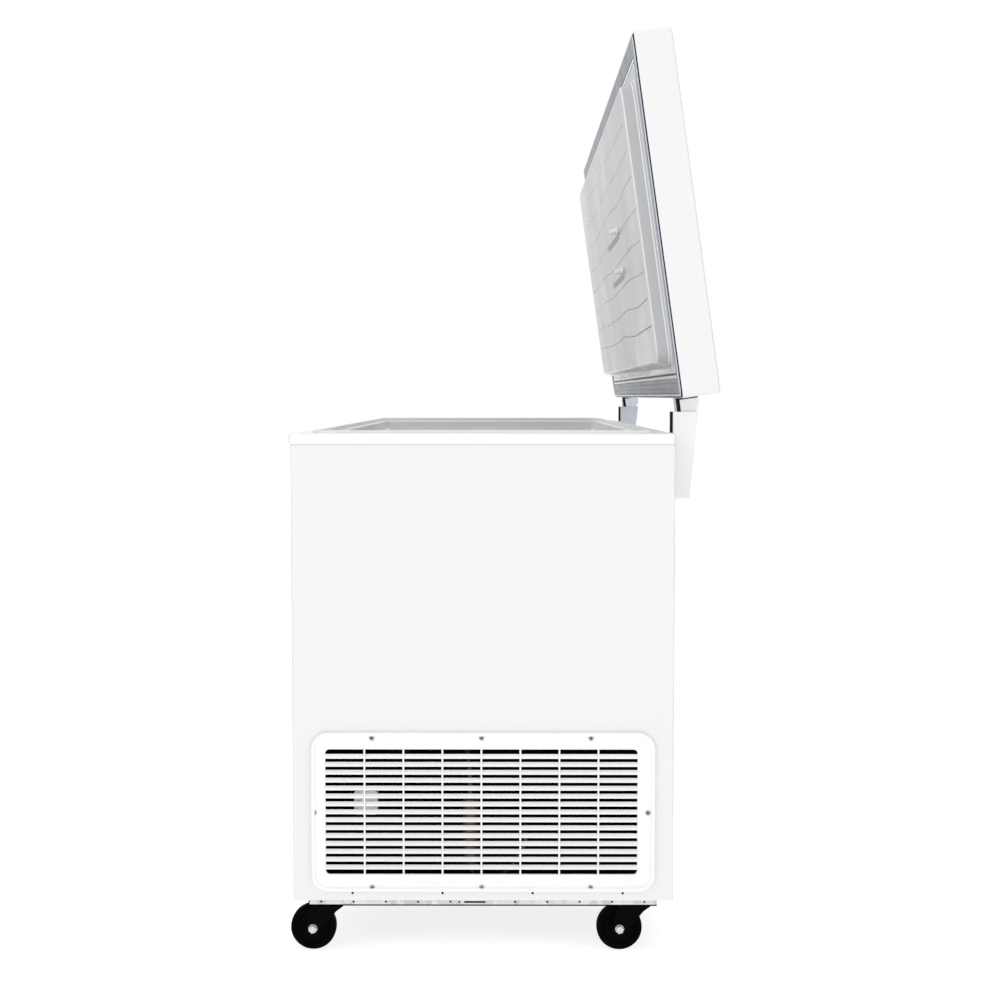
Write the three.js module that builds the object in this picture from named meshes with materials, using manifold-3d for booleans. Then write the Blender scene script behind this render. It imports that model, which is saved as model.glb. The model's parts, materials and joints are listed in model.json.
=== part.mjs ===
// A commercial chest freezer on swivel casters, lid held open by two spring hinges.
// Millimetres, +Z up. X runs along the length, +X towards the machine bay end with the louvre grille;
// -Y is the front, where a shopper stands; Z is measured from the floor.
// The lid is drawn in its closed place and swung open about the hinge pin by its group.

import * as THREE from "three";
import { mergeVertices } from "three/addons/utils/BufferGeometryUtils.js";
import Module from "manifold-3d";

const wasm = await Module();
wasm.setup();

// ---- Driving dimensions -------------------------------------------------------------------------

const GAP = 0.3; // between pieces that touch
const SHEET = 1; // cabinet sheet steel

const HALF_LENGTH = 764.5; // cabinet
const HALF_DEPTH = 287;
const CABINET_BOTTOM = 91;
const PANEL_TOP = 779.7;
const PANEL_FLANGE = 14; // side panel's return onto the front and the back
const PANEL_BEND = 3; // outer radius of the side panel's folded corners
const CORE_HALF_LENGTH = HALF_LENGTH - 1.8; // what fits inside the folded corners
const CORE_HALF_DEPTH = HALF_DEPTH - 1.8;

const RIM_BOTTOM = 780;
const RIM_TOP = 796;
const RIM_OVERHANG = 3; // past the cabinet's front and sides
const RIM_RADIUS = 6;
const COLLAR_TOP = 800;
const COLLAR_INSET = 29.8; // from the cabinet's faces to each step of the breaker collar
const COLLAR_STEP_INSET = 35;
const OPENING_INSET = 40.4;
const CAVITY_INSET = 48.5;
const COLLAR_WALL = 2;
const COLLAR_STEP_TOP = 792; // the collar's lower step
const COLLAR_SEAT = 784; // underside of both steps
const LEDGE_TOP = 770; // carries the basket
const LEDGE_BOTTOM = 767;
const COLLAR_BOTTOM = 750;

const LINER = 1.2;
const CAVITY_FLOOR = 150;
const STEP_X = 388; // the cavity floor steps up over the machine bay from here
const STEP_FLOOR = 402;
const CAVITY_RADIUS = 14;

const BAY_X = 436; // machine bay, from here to the grille
const BAY_TOP = 356;
const BAY_FLOOR = CABINET_BOTTOM + 2; // top of the tray that carries the machine
const BAY_STAND = BAY_FLOOR + GAP; // what stands on the tray starts here

const RAIL_BOTTOM = 82;
const RAIL_HEIGHT = 8.7;
const RAIL_WIDTH = 90;
const RAIL_HALF_DEPTH = 262.5;
const RAIL_SHEET = 2;

const GRILLE_HALF_DEPTH = 259;
const GRILLE_BOTTOM = 105;
const GRILLE_TOP = 348;
const GRILLE_RADIUS = 26;
const GRILLE_BEAD = 6.7;
const LOUVRE_FRONT = -237;
const LOUVRE_BACK = 232;
const LOUVRE_BOTTOM = 132;
const LOUVRE_TOP = 322;
const SLATS = 15;
const SLAT_PITCH = 12.05;
const RIBS = 7;
const RIB_PITCH = 58.6;
const RIB_WIDTH = 3;

const COMPRESSOR = { x: 640, y: 125, radius: 78, bottom: 112, top: 292 };
const FAN = { y: -140, z: 213, radius: 84 };
const CONDENSER_X = [496, 536];
const DRIER = [718, -20]; // filter drier's upright axis

const CONTROL_X = [560, 688]; // tub behind the control bezel
const CONTROL_Z = [192, 248];
const CONTROL_DEPTH = 16;
const CONTROL_FLANGE = 6;
const DIAL = { x: 656, z: 220, radius: 19 };
const GLAND_RADIUS = 9; // power cord's inlet in the back
const GLAND_XZ = [620, 150];

const OPEN_ANGLE = 81.9; // degrees, lid open at rest
const PIVOT_Y = 310.9; // hinge pin
const PIVOT_Z = 812.4;
const LID_REAR = 273.5;
const LID_FRONT = -269.5;
const LID_BOTTOM = 804;
const LID_TOP = 860.5;
const LID_SKIN = 1.2;
const LID_RADIUS = 8;
const GASKET_INSET = 3.5; // from the lid's edge
const GASKET_WIDTH = 26.5;
const GASKET_BOTTOM = COLLAR_TOP + 0.5;
const LINER_LIP_BOTTOM = 801.8; // first step of the lid liner, just clear of the collar
const LINER_LIP_INSET = 38; // from the lid's edge
const LIP_RADIUS = 14;
const PLUG_BOTTOM = 779.5; // raised panel of the lid liner
const PLUG_REAR = 213.5;
const PLUG_FRONT = -201.5;
const PLUG_HALF_LENGTH = 702.5;
const PLUG_RADIUS = 22;
const PLUG_DRAFT = 9; // how far the raised panel's wall leans
const CLIP_X = 287;
const CLIP_Y = [-24.5, 45.5];
const CLIP_DROP = 15;
const CLIP_RADIUS = 7;

const HINGE_X = 604.5; // centre of each hinge, both ends
const HINGE_WIDTH = 58;
const HINGE_SHEET = 2;
const HINGE_FRONT = 295; // above the rim
const HINGE_SEAT = HALF_DEPTH + 2 * GAP; // below the rim, against the cabinet's back
const HINGE_BOTTOM = 691;
const HINGE_TOP = 827;
const BRACKET_WIDTH = 46;
const BUFFER_WIDTH = 8; // black plastic strips on the hinge's right-hand edge
const BUFFER_STEP = PIVOT_Z - 7; // the housing's strip is clear of the turning bracket above this
const PIN_RADIUS = 4;
const CAM_WIDTH = 12;
const PLUNGER_RADIUS = 10;
const PLUNGER_TOP = PIVOT_Z - 10;
const PLUNGER_BOTTOM = PIVOT_Z - 45;

const BASKET_LEFT = -712;
const BASKET_LENGTH = 300;
const BASKET_HALF_DEPTH = 236;
const BASKET_BOTTOM = 545;
const BASKET_RIM = 755; // end walls
const BASKET_HANGER_TOP = 776; // long walls, up to the hangers on the collar's ledge
const BASKET_WALL = 4;
const BASKET_RADIUS = 10; // upright corners

const WHEEL_RADIUS = 35; // across the tread's flats
const WHEEL_WIDTH = 22;
const WHEEL_SIDES = 16;
const CASTER_X = 709;
const STEM_Y = [-237, 234]; // front and back
const CASTER_TRAIL = 25; // wheel centre ahead of the stem
const FORK_HALF_WIDTH = 17;
const FORK_SHEET = 3;
const CROWN_TOP = 76;

const rad = THREE.MathUtils.degToRad;

// ---- Finishes -----------------------------------------------------------------------------------

const finish = (color, roughness, metalness) => () =>
  new THREE.MeshStandardMaterial({ color, roughness, metalness });

const whitePaint = finish(0xf4f5f6, 0.35, 0.1);
const whitePlastic = finish(0xf1f2f3, 0.45, 0);
const greyLiner = finish(0xd2d4d6, 0.4, 0);
const gasketGrey = finish(0x97999c, 0.7, 0);
const insulationFoam = finish(0xe2d9b4, 0.95, 0);
const galvanised = finish(0xc9ccce, 0.45, 0.8);
const zinc = finish(0xc4c9d0, 0.3, 0.9);
const blackPlastic = finish(0x17181a, 0.6, 0);
const blackSteel = finish(0x141516, 0.45, 0.6);
const copper = finish(0xb87348, 0.35, 0.9);
const condenserBlack = finish(0x202224, 0.5, 0.6);
const springSteel = finish(0x8e9398, 0.35, 0.9);
const coatedWire = finish(0xe9eaec, 0.4, 0.1);

// ---- Solids -------------------------------------------------------------------------------------

function toSolid(geometry) {
  const bare = geometry.clone();
  bare.deleteAttribute("normal");
  bare.deleteAttribute("uv");
  const merged = mergeVertices(bare, 1e-3);
  return new wasm.Manifold(
    new wasm.Mesh({
      numProp: 3,
      vertProperties: merged.getAttribute("position").array,
      triVerts: new Uint32Array(merged.index.array),
    }),
  );
}

function toGeometry(solid) {
  const { vertProperties, triVerts } = solid.getMesh();
  const geometry = new THREE.BufferGeometry();
  geometry.setAttribute("position", new THREE.BufferAttribute(vertProperties, 3));
  geometry.setIndex(new THREE.BufferAttribute(triVerts, 1));
  return geometry;
}

const join = (...pieces) => toGeometry(pieces.map(toSolid).reduce((whole, piece) => whole.add(piece)));
const cut = (base, ...tools) =>
  toGeometry(tools.map(toSolid).reduce((whole, tool) => whole.subtract(tool), toSolid(base)));

function box([x0, x1], [y0, y1], [z0, z1]) {
  return new THREE.BoxGeometry(x1 - x0, y1 - y0, z1 - z0).translate(
    (x0 + x1) / 2,
    (y0 + y1) / 2,
    (z0 + z1) / 2,
  );
}

// A round bar along X, Y or Z from one end to the other.
function rod(axis, radius, [from, to], [a, b], sides = 16) {
  const bar = new THREE.CylinderGeometry(radius, radius, to - from, sides);
  bar.translate(0, (from + to) / 2, 0);
  if (axis === "x") return bar.rotateZ(-Math.PI / 2).translate(0, a, b);
  if (axis === "y") return bar.translate(a, 0, b);
  return bar.rotateX(Math.PI / 2).translate(a, b, 0);
}

function roundedRectangle(x0, x1, y0, y1, radius) {
  const shape = new THREE.Shape();
  shape.absarc(x1 - radius, y0 + radius, radius, -Math.PI / 2, 0);
  shape.absarc(x1 - radius, y1 - radius, radius, 0, Math.PI / 2);
  shape.absarc(x0 + radius, y1 - radius, radius, Math.PI / 2, Math.PI);
  shape.absarc(x0 + radius, y0 + radius, radius, Math.PI, 1.5 * Math.PI);
  shape.closePath();
  return shape;
}

// A plan outline raised from z0 to z1.
function raise(shape, [z0, z1], curveSegments = 2) {
  const prism = new THREE.ExtrudeGeometry(shape, { depth: z1 - z0, bevelEnabled: false, curveSegments });
  return prism.translate(0, 0, z0);
}

// An outline drawn in Y and Z, carried along X from x0 to x1.
function alongX(shape, [x0, x1], curveSegments = 3) {
  const prism = new THREE.ExtrudeGeometry(shape, { depth: x1 - x0, bevelEnabled: false, curveSegments });
  const axes = new THREE.Matrix4().makeBasis(
    new THREE.Vector3(0, 1, 0),
    new THREE.Vector3(0, 0, 1),
    new THREE.Vector3(1, 0, 0),
  );
  return prism.applyMatrix4(axes).translate(x0, 0, 0);
}

const outline = (points) => new THREE.Shape(points.map(([a, b]) => new THREE.Vector2(a, b)));

// A block with rounded upright corners that stands `inset` inside the cabinet's faces.
function insetBlock(inset, zRange, radius) {
  const x = HALF_LENGTH - inset;
  const y = HALF_DEPTH - inset;
  return raise(roundedRectangle(-x, x, -y, y, radius), zRange);
}

const insetRing = (outer, inner, [z0, z1], radius) =>
  cut(insetBlock(outer, [z0, z1], radius), insetBlock(inner, [z0 - 1, z1 + 1], Math.max(radius - 3, 2)));

// ---- Assembly -----------------------------------------------------------------------------------

const freezer = new THREE.Group();
freezer.name = "chest_freezer";

function add(group, name, geometry, material) {
  const mesh = new THREE.Mesh(geometry, material());
  mesh.name = name;
  group.add(mesh);
  return mesh;
}

const ENDS = [
  ["right", 1],
  ["left", -1],
];

// ---- Cabinet panels -----------------------------------------------------------------------------

// Plan outline of a side panel: a flat face with a folded flange at the front and at the back.
function sidePanelPlan() {
  const edge = HALF_LENGTH - PANEL_FLANGE;
  const bendX = HALF_LENGTH - PANEL_BEND;
  const bendY = HALF_DEPTH - PANEL_BEND;
  const inner = PANEL_BEND - SHEET;
  const plan = new THREE.Shape();
  plan.moveTo(edge, -HALF_DEPTH);
  plan.absarc(bendX, -bendY, PANEL_BEND, -Math.PI / 2, 0);
  plan.absarc(bendX, bendY, PANEL_BEND, 0, Math.PI / 2);
  plan.lineTo(edge, HALF_DEPTH);
  plan.lineTo(edge, HALF_DEPTH - SHEET);
  plan.absarc(bendX, bendY, inner, Math.PI / 2, 0, true);
  plan.absarc(bendX, -bendY, inner, 0, -Math.PI / 2, true);
  plan.lineTo(edge, SHEET - HALF_DEPTH);
  plan.closePath();
  return plan;
}

function cabinetPanels() {
  const louvreHole = alongX(
    roundedRectangle(LOUVRE_FRONT - 3, LOUVRE_BACK + 3, LOUVRE_BOTTOM - 3, LOUVRE_TOP + 3, 6),
    [HALF_LENGTH - 10, HALF_LENGTH + 10],
    2,
  );
  const side = raise(sidePanelPlan(), [CABINET_BOTTOM, PANEL_TOP], 3);
  add(freezer, "side_panel_right", cut(side, louvreHole), whitePaint);
  add(freezer, "side_panel_left", side.clone().rotateZ(Math.PI), whitePaint);

  const halfWidth = HALF_LENGTH - PANEL_FLANGE - 0.4;
  const front = box([-halfWidth, halfWidth], [-HALF_DEPTH, SHEET - HALF_DEPTH], [CABINET_BOTTOM, PANEL_TOP]);
  add(freezer, "front_panel", cut(front, controlWell(GAP)), whitePaint);
  const back = box([-halfWidth, halfWidth], [HALF_DEPTH - SHEET, HALF_DEPTH], [CABINET_BOTTOM, PANEL_TOP]);
  add(freezer, "back_panel", cut(back, rod("y", GLAND_RADIUS + GAP, [280, 295], GLAND_XZ)), whitePaint);

  const floorZ = [CABINET_BOTTOM, CABINET_BOTTOM + SHEET];
  const coreY = [-CORE_HALF_DEPTH, CORE_HALF_DEPTH];
  add(freezer, "bottom_panel", box([-CORE_HALF_LENGTH, BAY_X + 1.5], coreY, floorZ), galvanised);
  const tray = box([BAY_X + 2, CORE_HALF_LENGTH], coreY, [CABINET_BOTTOM, BAY_FLOOR]);
  add(freezer, "machine_bay_tray", tray, galvanised);
}

// The folded sheet that closes the foam off from the machine bay.
function machineBayDivider() {
  const y = [-CORE_HALF_DEPTH, CORE_HALF_DEPTH];
  const top = BAY_TOP - GAP;
  const wall = box([BAY_X + GAP, BAY_X + GAP + SHEET], y, [BAY_FLOOR + GAP, top]);
  const ceiling = box([BAY_X + GAP, CORE_HALF_LENGTH], y, [top - SHEET, top]);
  add(freezer, "machine_bay_divider", join(wall, ceiling), galvanised);
}

// ---- Insulation, liner and rim --------------------------------------------------------------------

// The stepped storage space, grown outwards by `grow` and open upwards to `top`.
function cavity(grow, top) {
  const x = HALF_LENGTH - CAVITY_INSET + grow;
  const y = HALF_DEPTH - CAVITY_INSET + grow;
  const radius = CAVITY_RADIUS + grow;
  const deep = raise(roundedRectangle(-x, STEP_X + grow, -y, y, radius), [CAVITY_FLOOR - grow, top]);
  const shallow = raise(roundedRectangle(STEP_X - 2 * radius, x, -y, y, radius), [STEP_FLOOR - grow, top]);
  return join(deep, shallow);
}

function insulationAndLiner() {
  const blockZ = [CABINET_BOTTOM + SHEET + GAP, PANEL_TOP];
  const block = box([-CORE_HALF_LENGTH, CORE_HALF_LENGTH], [-CORE_HALF_DEPTH, CORE_HALF_DEPTH], blockZ);
  const bay = box([BAY_X, 800], [-300, 300], [80, BAY_TOP]);
  const rebate = insetBlock(OPENING_INSET - COLLAR_WALL - GAP, [COLLAR_BOTTOM - 2 * GAP, 800], 17);
  add(freezer, "insulation", cut(block, bay, cavity(LINER + GAP, 800), rebate), insulationFoam);

  const linerTop = COLLAR_BOTTOM - GAP;
  const shell = cut(cavity(LINER, linerTop), cavity(0, 800));
  add(freezer, "cavity_liner", shell, greyLiner);
}

function rimAndCollar() {
  const x = HALF_LENGTH + RIM_OVERHANG;
  const plan = roundedRectangle(-x, x, -HALF_DEPTH - RIM_OVERHANG, HALF_DEPTH + GAP, RIM_RADIUS);
  const outer = raise(plan, [RIM_BOTTOM, RIM_TOP]);
  const frame = cut(outer, insetBlock(COLLAR_INSET - GAP, [RIM_BOTTOM - 1, RIM_TOP + 1], 14));
  add(freezer, "top_frame", frame, whitePlastic);

  const wallInset = OPENING_INSET - COLLAR_WALL;
  const lipInset = CAVITY_INSET - COLLAR_WALL;
  const collar = join(
    insetRing(COLLAR_INSET, COLLAR_STEP_INSET, [COLLAR_SEAT, COLLAR_TOP], 14),
    insetRing(COLLAR_STEP_INSET - 1, OPENING_INSET, [COLLAR_SEAT, COLLAR_STEP_TOP], 14),
    insetRing(wallInset, OPENING_INSET, [LEDGE_BOTTOM, COLLAR_SEAT + 1], 16),
    insetRing(wallInset, CAVITY_INSET, [LEDGE_BOTTOM, LEDGE_TOP], 16),
    insetRing(lipInset, CAVITY_INSET, [COLLAR_BOTTOM, LEDGE_BOTTOM + 1], 16),
  );
  add(freezer, "breaker_collar", collar, greyLiner);
}

// ---- Base rails and machine bay -------------------------------------------------------------------

function baseRails() {
  const z = [RAIL_BOTTOM, RAIL_BOTTOM + RAIL_HEIGHT];
  const outerX = HALF_LENGTH - 2;
  const innerX = outerX - RAIL_WIDTH;
  const y = [-RAIL_HALF_DEPTH, RAIL_HALF_DEPTH];
  const channel = cut(
    box([innerX, outerX], y, z),
    box([innerX + RAIL_SHEET, outerX - RAIL_SHEET], [-300, 300], [RAIL_BOTTOM + RAIL_SHEET, 100]),
  );
  for (const [end, side] of ENDS) {
    add(freezer, `base_rail_${end}`, channel.clone().rotateZ(side > 0 ? 0 : Math.PI), galvanised);
  }
}

// One louvre slat's section: it slopes down and outwards to shed rain and hide the bay.
function slat(centreZ) {
  const inner = HALF_LENGTH + 0.7;
  const outer = HALF_LENGTH + 5;
  const length = LOUVRE_BACK - LOUVRE_FRONT + 4;
  const section = outline([
    [inner, centreZ + 1.4],
    [outer, centreZ - 3.7],
    [outer, centreZ - 1.4],
    [inner, centreZ + 3.7],
  ]);
  const prism = new THREE.ExtrudeGeometry(section, { depth: length, bevelEnabled: false });
  return prism.rotateX(Math.PI / 2).translate(0, LOUVRE_BACK + 2, 0);
}

function louvreGrille() {
  const back = HALF_LENGTH + GAP;
  const face = back + 3.5;
  const bead = back + 6;
  const frameShape = (inset, radius) =>
    roundedRectangle(
      inset - GRILLE_HALF_DEPTH,
      GRILLE_HALF_DEPTH - inset,
      GRILLE_BOTTOM + inset,
      GRILLE_TOP - inset,
      radius,
    );
  const plate = alongX(frameShape(0, GRILLE_RADIUS), [back, bead], 5);
  const field = alongX(frameShape(GRILLE_BEAD, GRILLE_RADIUS - GRILLE_BEAD), [face, bead + 1], 5);
  const hole = box([back - 1, bead + 1], [LOUVRE_FRONT, LOUVRE_BACK], [LOUVRE_BOTTOM, LOUVRE_TOP]);
  const spread = (middle, count, pitch) =>
    Array.from({ length: count }, (_, i) => middle + (i - (count - 1) / 2) * pitch);
  const slats = spread((LOUVRE_BOTTOM + LOUVRE_TOP) / 2, SLATS, SLAT_PITCH).map(slat);
  const ribZ = [LOUVRE_BOTTOM - 1, LOUVRE_TOP + 1];
  const ribs = spread((LOUVRE_FRONT + LOUVRE_BACK) / 2, RIBS, RIB_PITCH).map((y) =>
    box([back, back + 4.9], [y - RIB_WIDTH / 2, y + RIB_WIDTH / 2], ribZ),
  );
  add(freezer, "louvre_grille", join(cut(plate, field, hole), ...slats, ...ribs), whitePlastic);
}

function compressor() {
  const { x, y, radius, bottom, top } = COMPRESSOR;
  const profile = [
    [0, bottom],
    [radius * 0.7, bottom],
    [radius, bottom + 22],
    [radius, top - 45],
    [radius * 0.86, top - 18],
    [radius * 0.5, top - 3],
    [0, top],
  ].map(([r, z]) => new THREE.Vector2(r, z));
  const dome = new THREE.LatheGeometry(profile, 16).rotateX(Math.PI / 2).translate(x, y, 0);
  const plate = box([x - 95, x + 95], [y - 60, y + 60], [bottom - 6, bottom + 1]);
  const feet = [-80, 80].flatMap((dx) =>
    [-46, 46].map((dy) => rod("z", 9, [BAY_STAND, bottom - 5], [x + dx, y + dy], 6)),
  );
  const terminalBox = box([x - 30, x + 34], [y - radius - 36, y - radius + 20], [170, 236]);
  add(freezer, "compressor", join(dome, plate, terminalBox, ...feet), blackSteel);
}

function condenserAndFan() {
  const [back, front] = CONDENSER_X;
  const y = [FAN.y - 110, FAN.y + 110];
  const z = [BAY_STAND, 328];
  const grooves = [120, 162, 204, 246, 288].map((z0) => box([front - 6, front + 1], y, [z0, z0 + 12]));
  const coil = cut(box([back, front], y, z), ...grooves);
  add(freezer, "condenser", coil, condenserBlack);
  const plate = box([front + 2, front + 5], y, z);
  const throat = rod("x", FAN.radius + 6, [front, front + 8], [FAN.y, FAN.z], 24);
  add(freezer, "fan_shroud", cut(plate, throat), blackSteel);

  const hubX = front + 18;
  const hub = rod("x", 22, [hubX - 10, hubX + 12], [FAN.y, FAN.z], 16);
  const blades = Array.from({ length: 5 }, (_, i) => {
    const blade = new THREE.BoxGeometry(1.6, 40, FAN.radius - 16).translate(0, 0, (FAN.radius + 16) / 2);
    return blade.rotateZ(rad(28)).rotateX((i * 2 * Math.PI) / 5).translate(hubX, FAN.y, FAN.z);
  });
  add(freezer, "fan_blade", join(hub, ...blades), blackPlastic);

  const motor = rod("x", 30, [hubX + 13, hubX + 70], [FAN.y, FAN.z], 16);
  const leg = box([hubX + 36, hubX + 46], [FAN.y - 14, FAN.y + 14], [BAY_STAND, FAN.z - 20]);
  add(freezer, "fan_motor", join(motor, leg), blackSteel);
}

function tube(points, radius, sides = 6) {
  const path = new THREE.CatmullRomCurve3(points.map((p) => new THREE.Vector3(...p)));
  const section = new THREE.Shape().absarc(0, 0, radius, 0, 2 * Math.PI);
  return new THREE.ExtrudeGeometry(section, {
    extrudePath: path,
    steps: 18,
    curveSegments: sides,
    bevelEnabled: false,
  });
}

// The line from the compressor through the filter drier to the top of the condenser.
function refrigerantLine() {
  const { x, y, radius } = COMPRESSOR;
  const [drierX, drierY] = DRIER;
  const route = [
    [x + 66, y - radius + 20, 180],
    [x + 72, y - radius + 6, 140],
    [drierX, drierY + 26, 104],
    [drierX, drierY, 120],
    [drierX, drierY, 250],
    [drierX - 30, drierY - 10, 330],
    [600, -70, 343],
    [CONDENSER_X[0] + 20, FAN.y + 20, 343],
  ];
  const pipe = tube(route, 3.5);
  add(freezer, "refrigerant_line", join(pipe, rod("z", 11, [136, 236], DRIER, 12)), copper);
}

// ---- Controls and cable inlet ---------------------------------------------------------------------

// The recess that the control bezel drops into, grown by `grow`.
function controlWell(grow) {
  return box(
    [CONTROL_X[0] - grow, CONTROL_X[1] + grow],
    [-HALF_DEPTH - 5, CONTROL_DEPTH - HALF_DEPTH],
    [CONTROL_Z[0] - grow, CONTROL_Z[1] + grow],
  );
}

function controls() {
  const face = -HALF_DEPTH - GAP;
  const flange = box(
    [CONTROL_X[0] - CONTROL_FLANGE, CONTROL_X[1] + CONTROL_FLANGE],
    [face - 1.8, face],
    [CONTROL_Z[0] - CONTROL_FLANGE, CONTROL_Z[1] + CONTROL_FLANGE],
  );
  const tub = box(CONTROL_X, [face - 1, CONTROL_DEPTH - HALF_DEPTH], CONTROL_Z);
  const well = rod("y", DIAL.radius + 1.5, [face - 5, face + 11], [DIAL.x, DIAL.z], 24);
  const shaftHole = rod("y", 3.4, [face, face + 30], [DIAL.x, DIAL.z], 10);
  add(freezer, "control_bezel", cut(join(flange, tub), well, shaftHole), whitePlastic);

  const dial = rod("y", DIAL.radius, [face - 2.4, face + 9], [DIAL.x, DIAL.z], 24);
  const shaft = rod("y", 3, [face + 8, face + 15], [DIAL.x, DIAL.z], 10);
  const slot = box([DIAL.x - 13, DIAL.x + 13], [face - 4, face - 0.6], [DIAL.z - 1.5, DIAL.z + 1.5]);
  add(freezer, "thermostat_dial", cut(join(dial, shaft), slot), blackPlastic);
}

function cableGland() {
  const body = rod("y", GLAND_RADIUS, [HALF_DEPTH - 8, HALF_DEPTH + 2], GLAND_XZ, 16);
  const collar = rod("y", 13, [HALF_DEPTH + GAP, HALF_DEPTH + 6], GLAND_XZ, 16);
  const bore = rod("y", 4.5, [HALF_DEPTH - 10, HALF_DEPTH + 10], GLAND_XZ, 12);
  add(freezer, "cable_gland", cut(join(body, collar), bore), blackPlastic);
}

// ---- Lid ------------------------------------------------------------------------------------------

const lid = new THREE.Group();
lid.position.set(0, PIVOT_Y, PIVOT_Z);
lid.rotation.x = -rad(OPEN_ANGLE);
freezer.add(lid);

// Adds a lid piece drawn in its closed place.
const addToLid = (name, geometry, material) =>
  add(lid, name, geometry.translate(0, -PIVOT_Y, -PIVOT_Z), material);

// A block `inset` inside the closed lid's outline.
const lidBlock = (inset, zRange, radius) =>
  raise(
    roundedRectangle(inset - HALF_LENGTH, HALF_LENGTH - inset, LID_FRONT + inset, LID_REAR - inset, radius),
    zRange,
  );

// The raised panel of the liner with leaning walls, grown outwards by `grow`.
function lidPlug(grow, top) {
  const x = PLUG_HALF_LENGTH + grow;
  const plan = roundedRectangle(-x, x, PLUG_FRONT - grow, PLUG_REAR + grow, PLUG_RADIUS + grow);
  const plug = raise(plan, [PLUG_BOTTOM - grow, top]);
  const middle = (PLUG_FRONT + PLUG_REAR) / 2;
  const position = plug.getAttribute("position");
  for (let i = 0; i < position.count; i++) {
    if (position.getZ(i) < top - 1) continue;
    position.setX(i, position.getX(i) + PLUG_DRAFT * Math.sign(position.getX(i)));
    position.setY(i, position.getY(i) + PLUG_DRAFT * Math.sign(position.getY(i) - middle));
  }
  return plug;
}

function lidPieces() {
  const tray = cut(
    lidBlock(0, [LID_BOTTOM, LID_TOP], LID_RADIUS),
    lidBlock(LID_SKIN, [LID_BOTTOM - 1, LID_TOP - LID_SKIN], LID_RADIUS - LID_SKIN),
  );
  addToLid("lid_shell", tray, whitePaint);

  const flange = lidBlock(LID_SKIN + GAP, [LID_BOTTOM + 1, LID_BOTTOM + 3], LID_RADIUS);
  const lip = lidBlock(LINER_LIP_INSET, [LINER_LIP_BOTTOM, LID_BOTTOM + 2], LIP_RADIUS);
  const lipHollow = lidBlock(LINER_LIP_INSET + 2, [LINER_LIP_BOTTOM + 2, LID_BOTTOM + 4], LIP_RADIUS - 2);
  const plug = lidPlug(0, LINER_LIP_BOTTOM + 1);
  const plugHollow = lidPlug(-2, LINER_LIP_BOTTOM + 3);
  addToLid("lid_liner", cut(join(flange, lip, plug), lipHollow, plugHollow), greyLiner);

  const slab = lidBlock(LID_SKIN + GAP, [LID_BOTTOM + 3 + GAP, LID_TOP - LID_SKIN - GAP], LID_RADIUS);
  const lipFillZ = [LINER_LIP_BOTTOM + 2 + GAP, LID_BOTTOM + 4];
  const lipFill = lidBlock(LINER_LIP_INSET + 2 + GAP, lipFillZ, LIP_RADIUS - 2);
  const plugFill = lidPlug(-2 - GAP, LINER_LIP_BOTTOM + 3);
  addToLid("lid_insulation", join(slab, lipFill, plugFill), insulationFoam);

  const gasketZ = [GASKET_BOTTOM, LID_BOTTOM + 1 - GAP];
  const gasket = cut(
    lidBlock(GASKET_INSET, gasketZ, LID_RADIUS),
    lidBlock(GASKET_INSET + GASKET_WIDTH, [GASKET_BOTTOM - 1, LID_BOTTOM + 2], LIP_RADIUS - 2),
  );
  addToLid("lid_gasket", gasket, gasketGrey);

  CLIP_Y.forEach((y, i) => {
    const top = PLUG_BOTTOM - GAP;
    const peg = rod("z", CLIP_RADIUS, [top - CLIP_DROP, top], [CLIP_X, y], 12);
    addToLid(`lid_clip_${i + 1}`, peg, whitePlastic);
  });
}

// ---- Spring hinges --------------------------------------------------------------------------------

// Side outline of the lid bracket, from the pin: y towards the back and z up with the lid closed.
const BRACKET_FACE = LID_REAR + GAP - PIVOT_Y;
const BRACKET_OUTLINE = [
  [BRACKET_FACE, -5.9],
  [-11, -5.9],
  [-9, -8],
  [-1, -15],
  [3.2, -14.9],
  [7.6, -4.4],
  [8.8, 0],
  [7.6, 6],
  [-9, 20.5],
  [-22.6, 28.5],
  [BRACKET_FACE, 28.7],
];

// The bracket's hollow, open towards the lid's underside, and around the pin.
const BRACKET_HOLLOW = [
  [-31.5, -20],
  [12, -20],
  [12, 5],
  [5.5, 4.9],
  [-9.9, 18.4],
  [-23, 26.4],
  [-31.5, 26.5],
];

const fromPivot = (points) => outline(points.map(([y, z]) => [y + PIVOT_Y, z + PIVOT_Z]));

function hingeHousing(middle) {
  const half = HINGE_WIDTH / 2;
  const inner = half - HINGE_SHEET;
  const solid = outline([
    [HINGE_SEAT, HINGE_BOTTOM],
    [322.4, HINGE_BOTTOM],
    [334.7, HINGE_TOP],
    [HINGE_FRONT, HINGE_TOP],
    [HINGE_FRONT, RIM_BOTTOM - 2],
    [HINGE_SEAT, RIM_BOTTOM - 2],
  ]);
  const hollow = outline([
    [HINGE_SEAT - 1, HINGE_BOTTOM + HINGE_SHEET],
    [320.6, HINGE_BOTTOM + HINGE_SHEET],
    [332.8, HINGE_TOP + 1],
    [HINGE_SEAT - 1, HINGE_TOP + 1],
  ]);
  return cut(
    alongX(solid, [middle - half, middle + half]),
    alongX(hollow, [middle - inner, middle + inner]),
    rod("x", PIN_RADIUS + GAP, [middle - half + 0.4, middle + half - 0.4], [PIVOT_Y, PIVOT_Z], 16),
  );
}

// The plastic strip down the front edge of the housing's right-hand cheek, above the rim.
function hingeBuffer(middle) {
  const edge = middle + HINGE_WIDTH / 2;
  const y = [290.6, HINGE_FRONT - GAP];
  return join(
    box([edge - BUFFER_WIDTH, edge], y, [RIM_BOTTOM - 2 + GAP, BUFFER_STEP]),
    box([middle + BRACKET_WIDTH / 2 + GAP, edge], y, [BUFFER_STEP - 1, HINGE_TOP]),
  );
}

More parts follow.
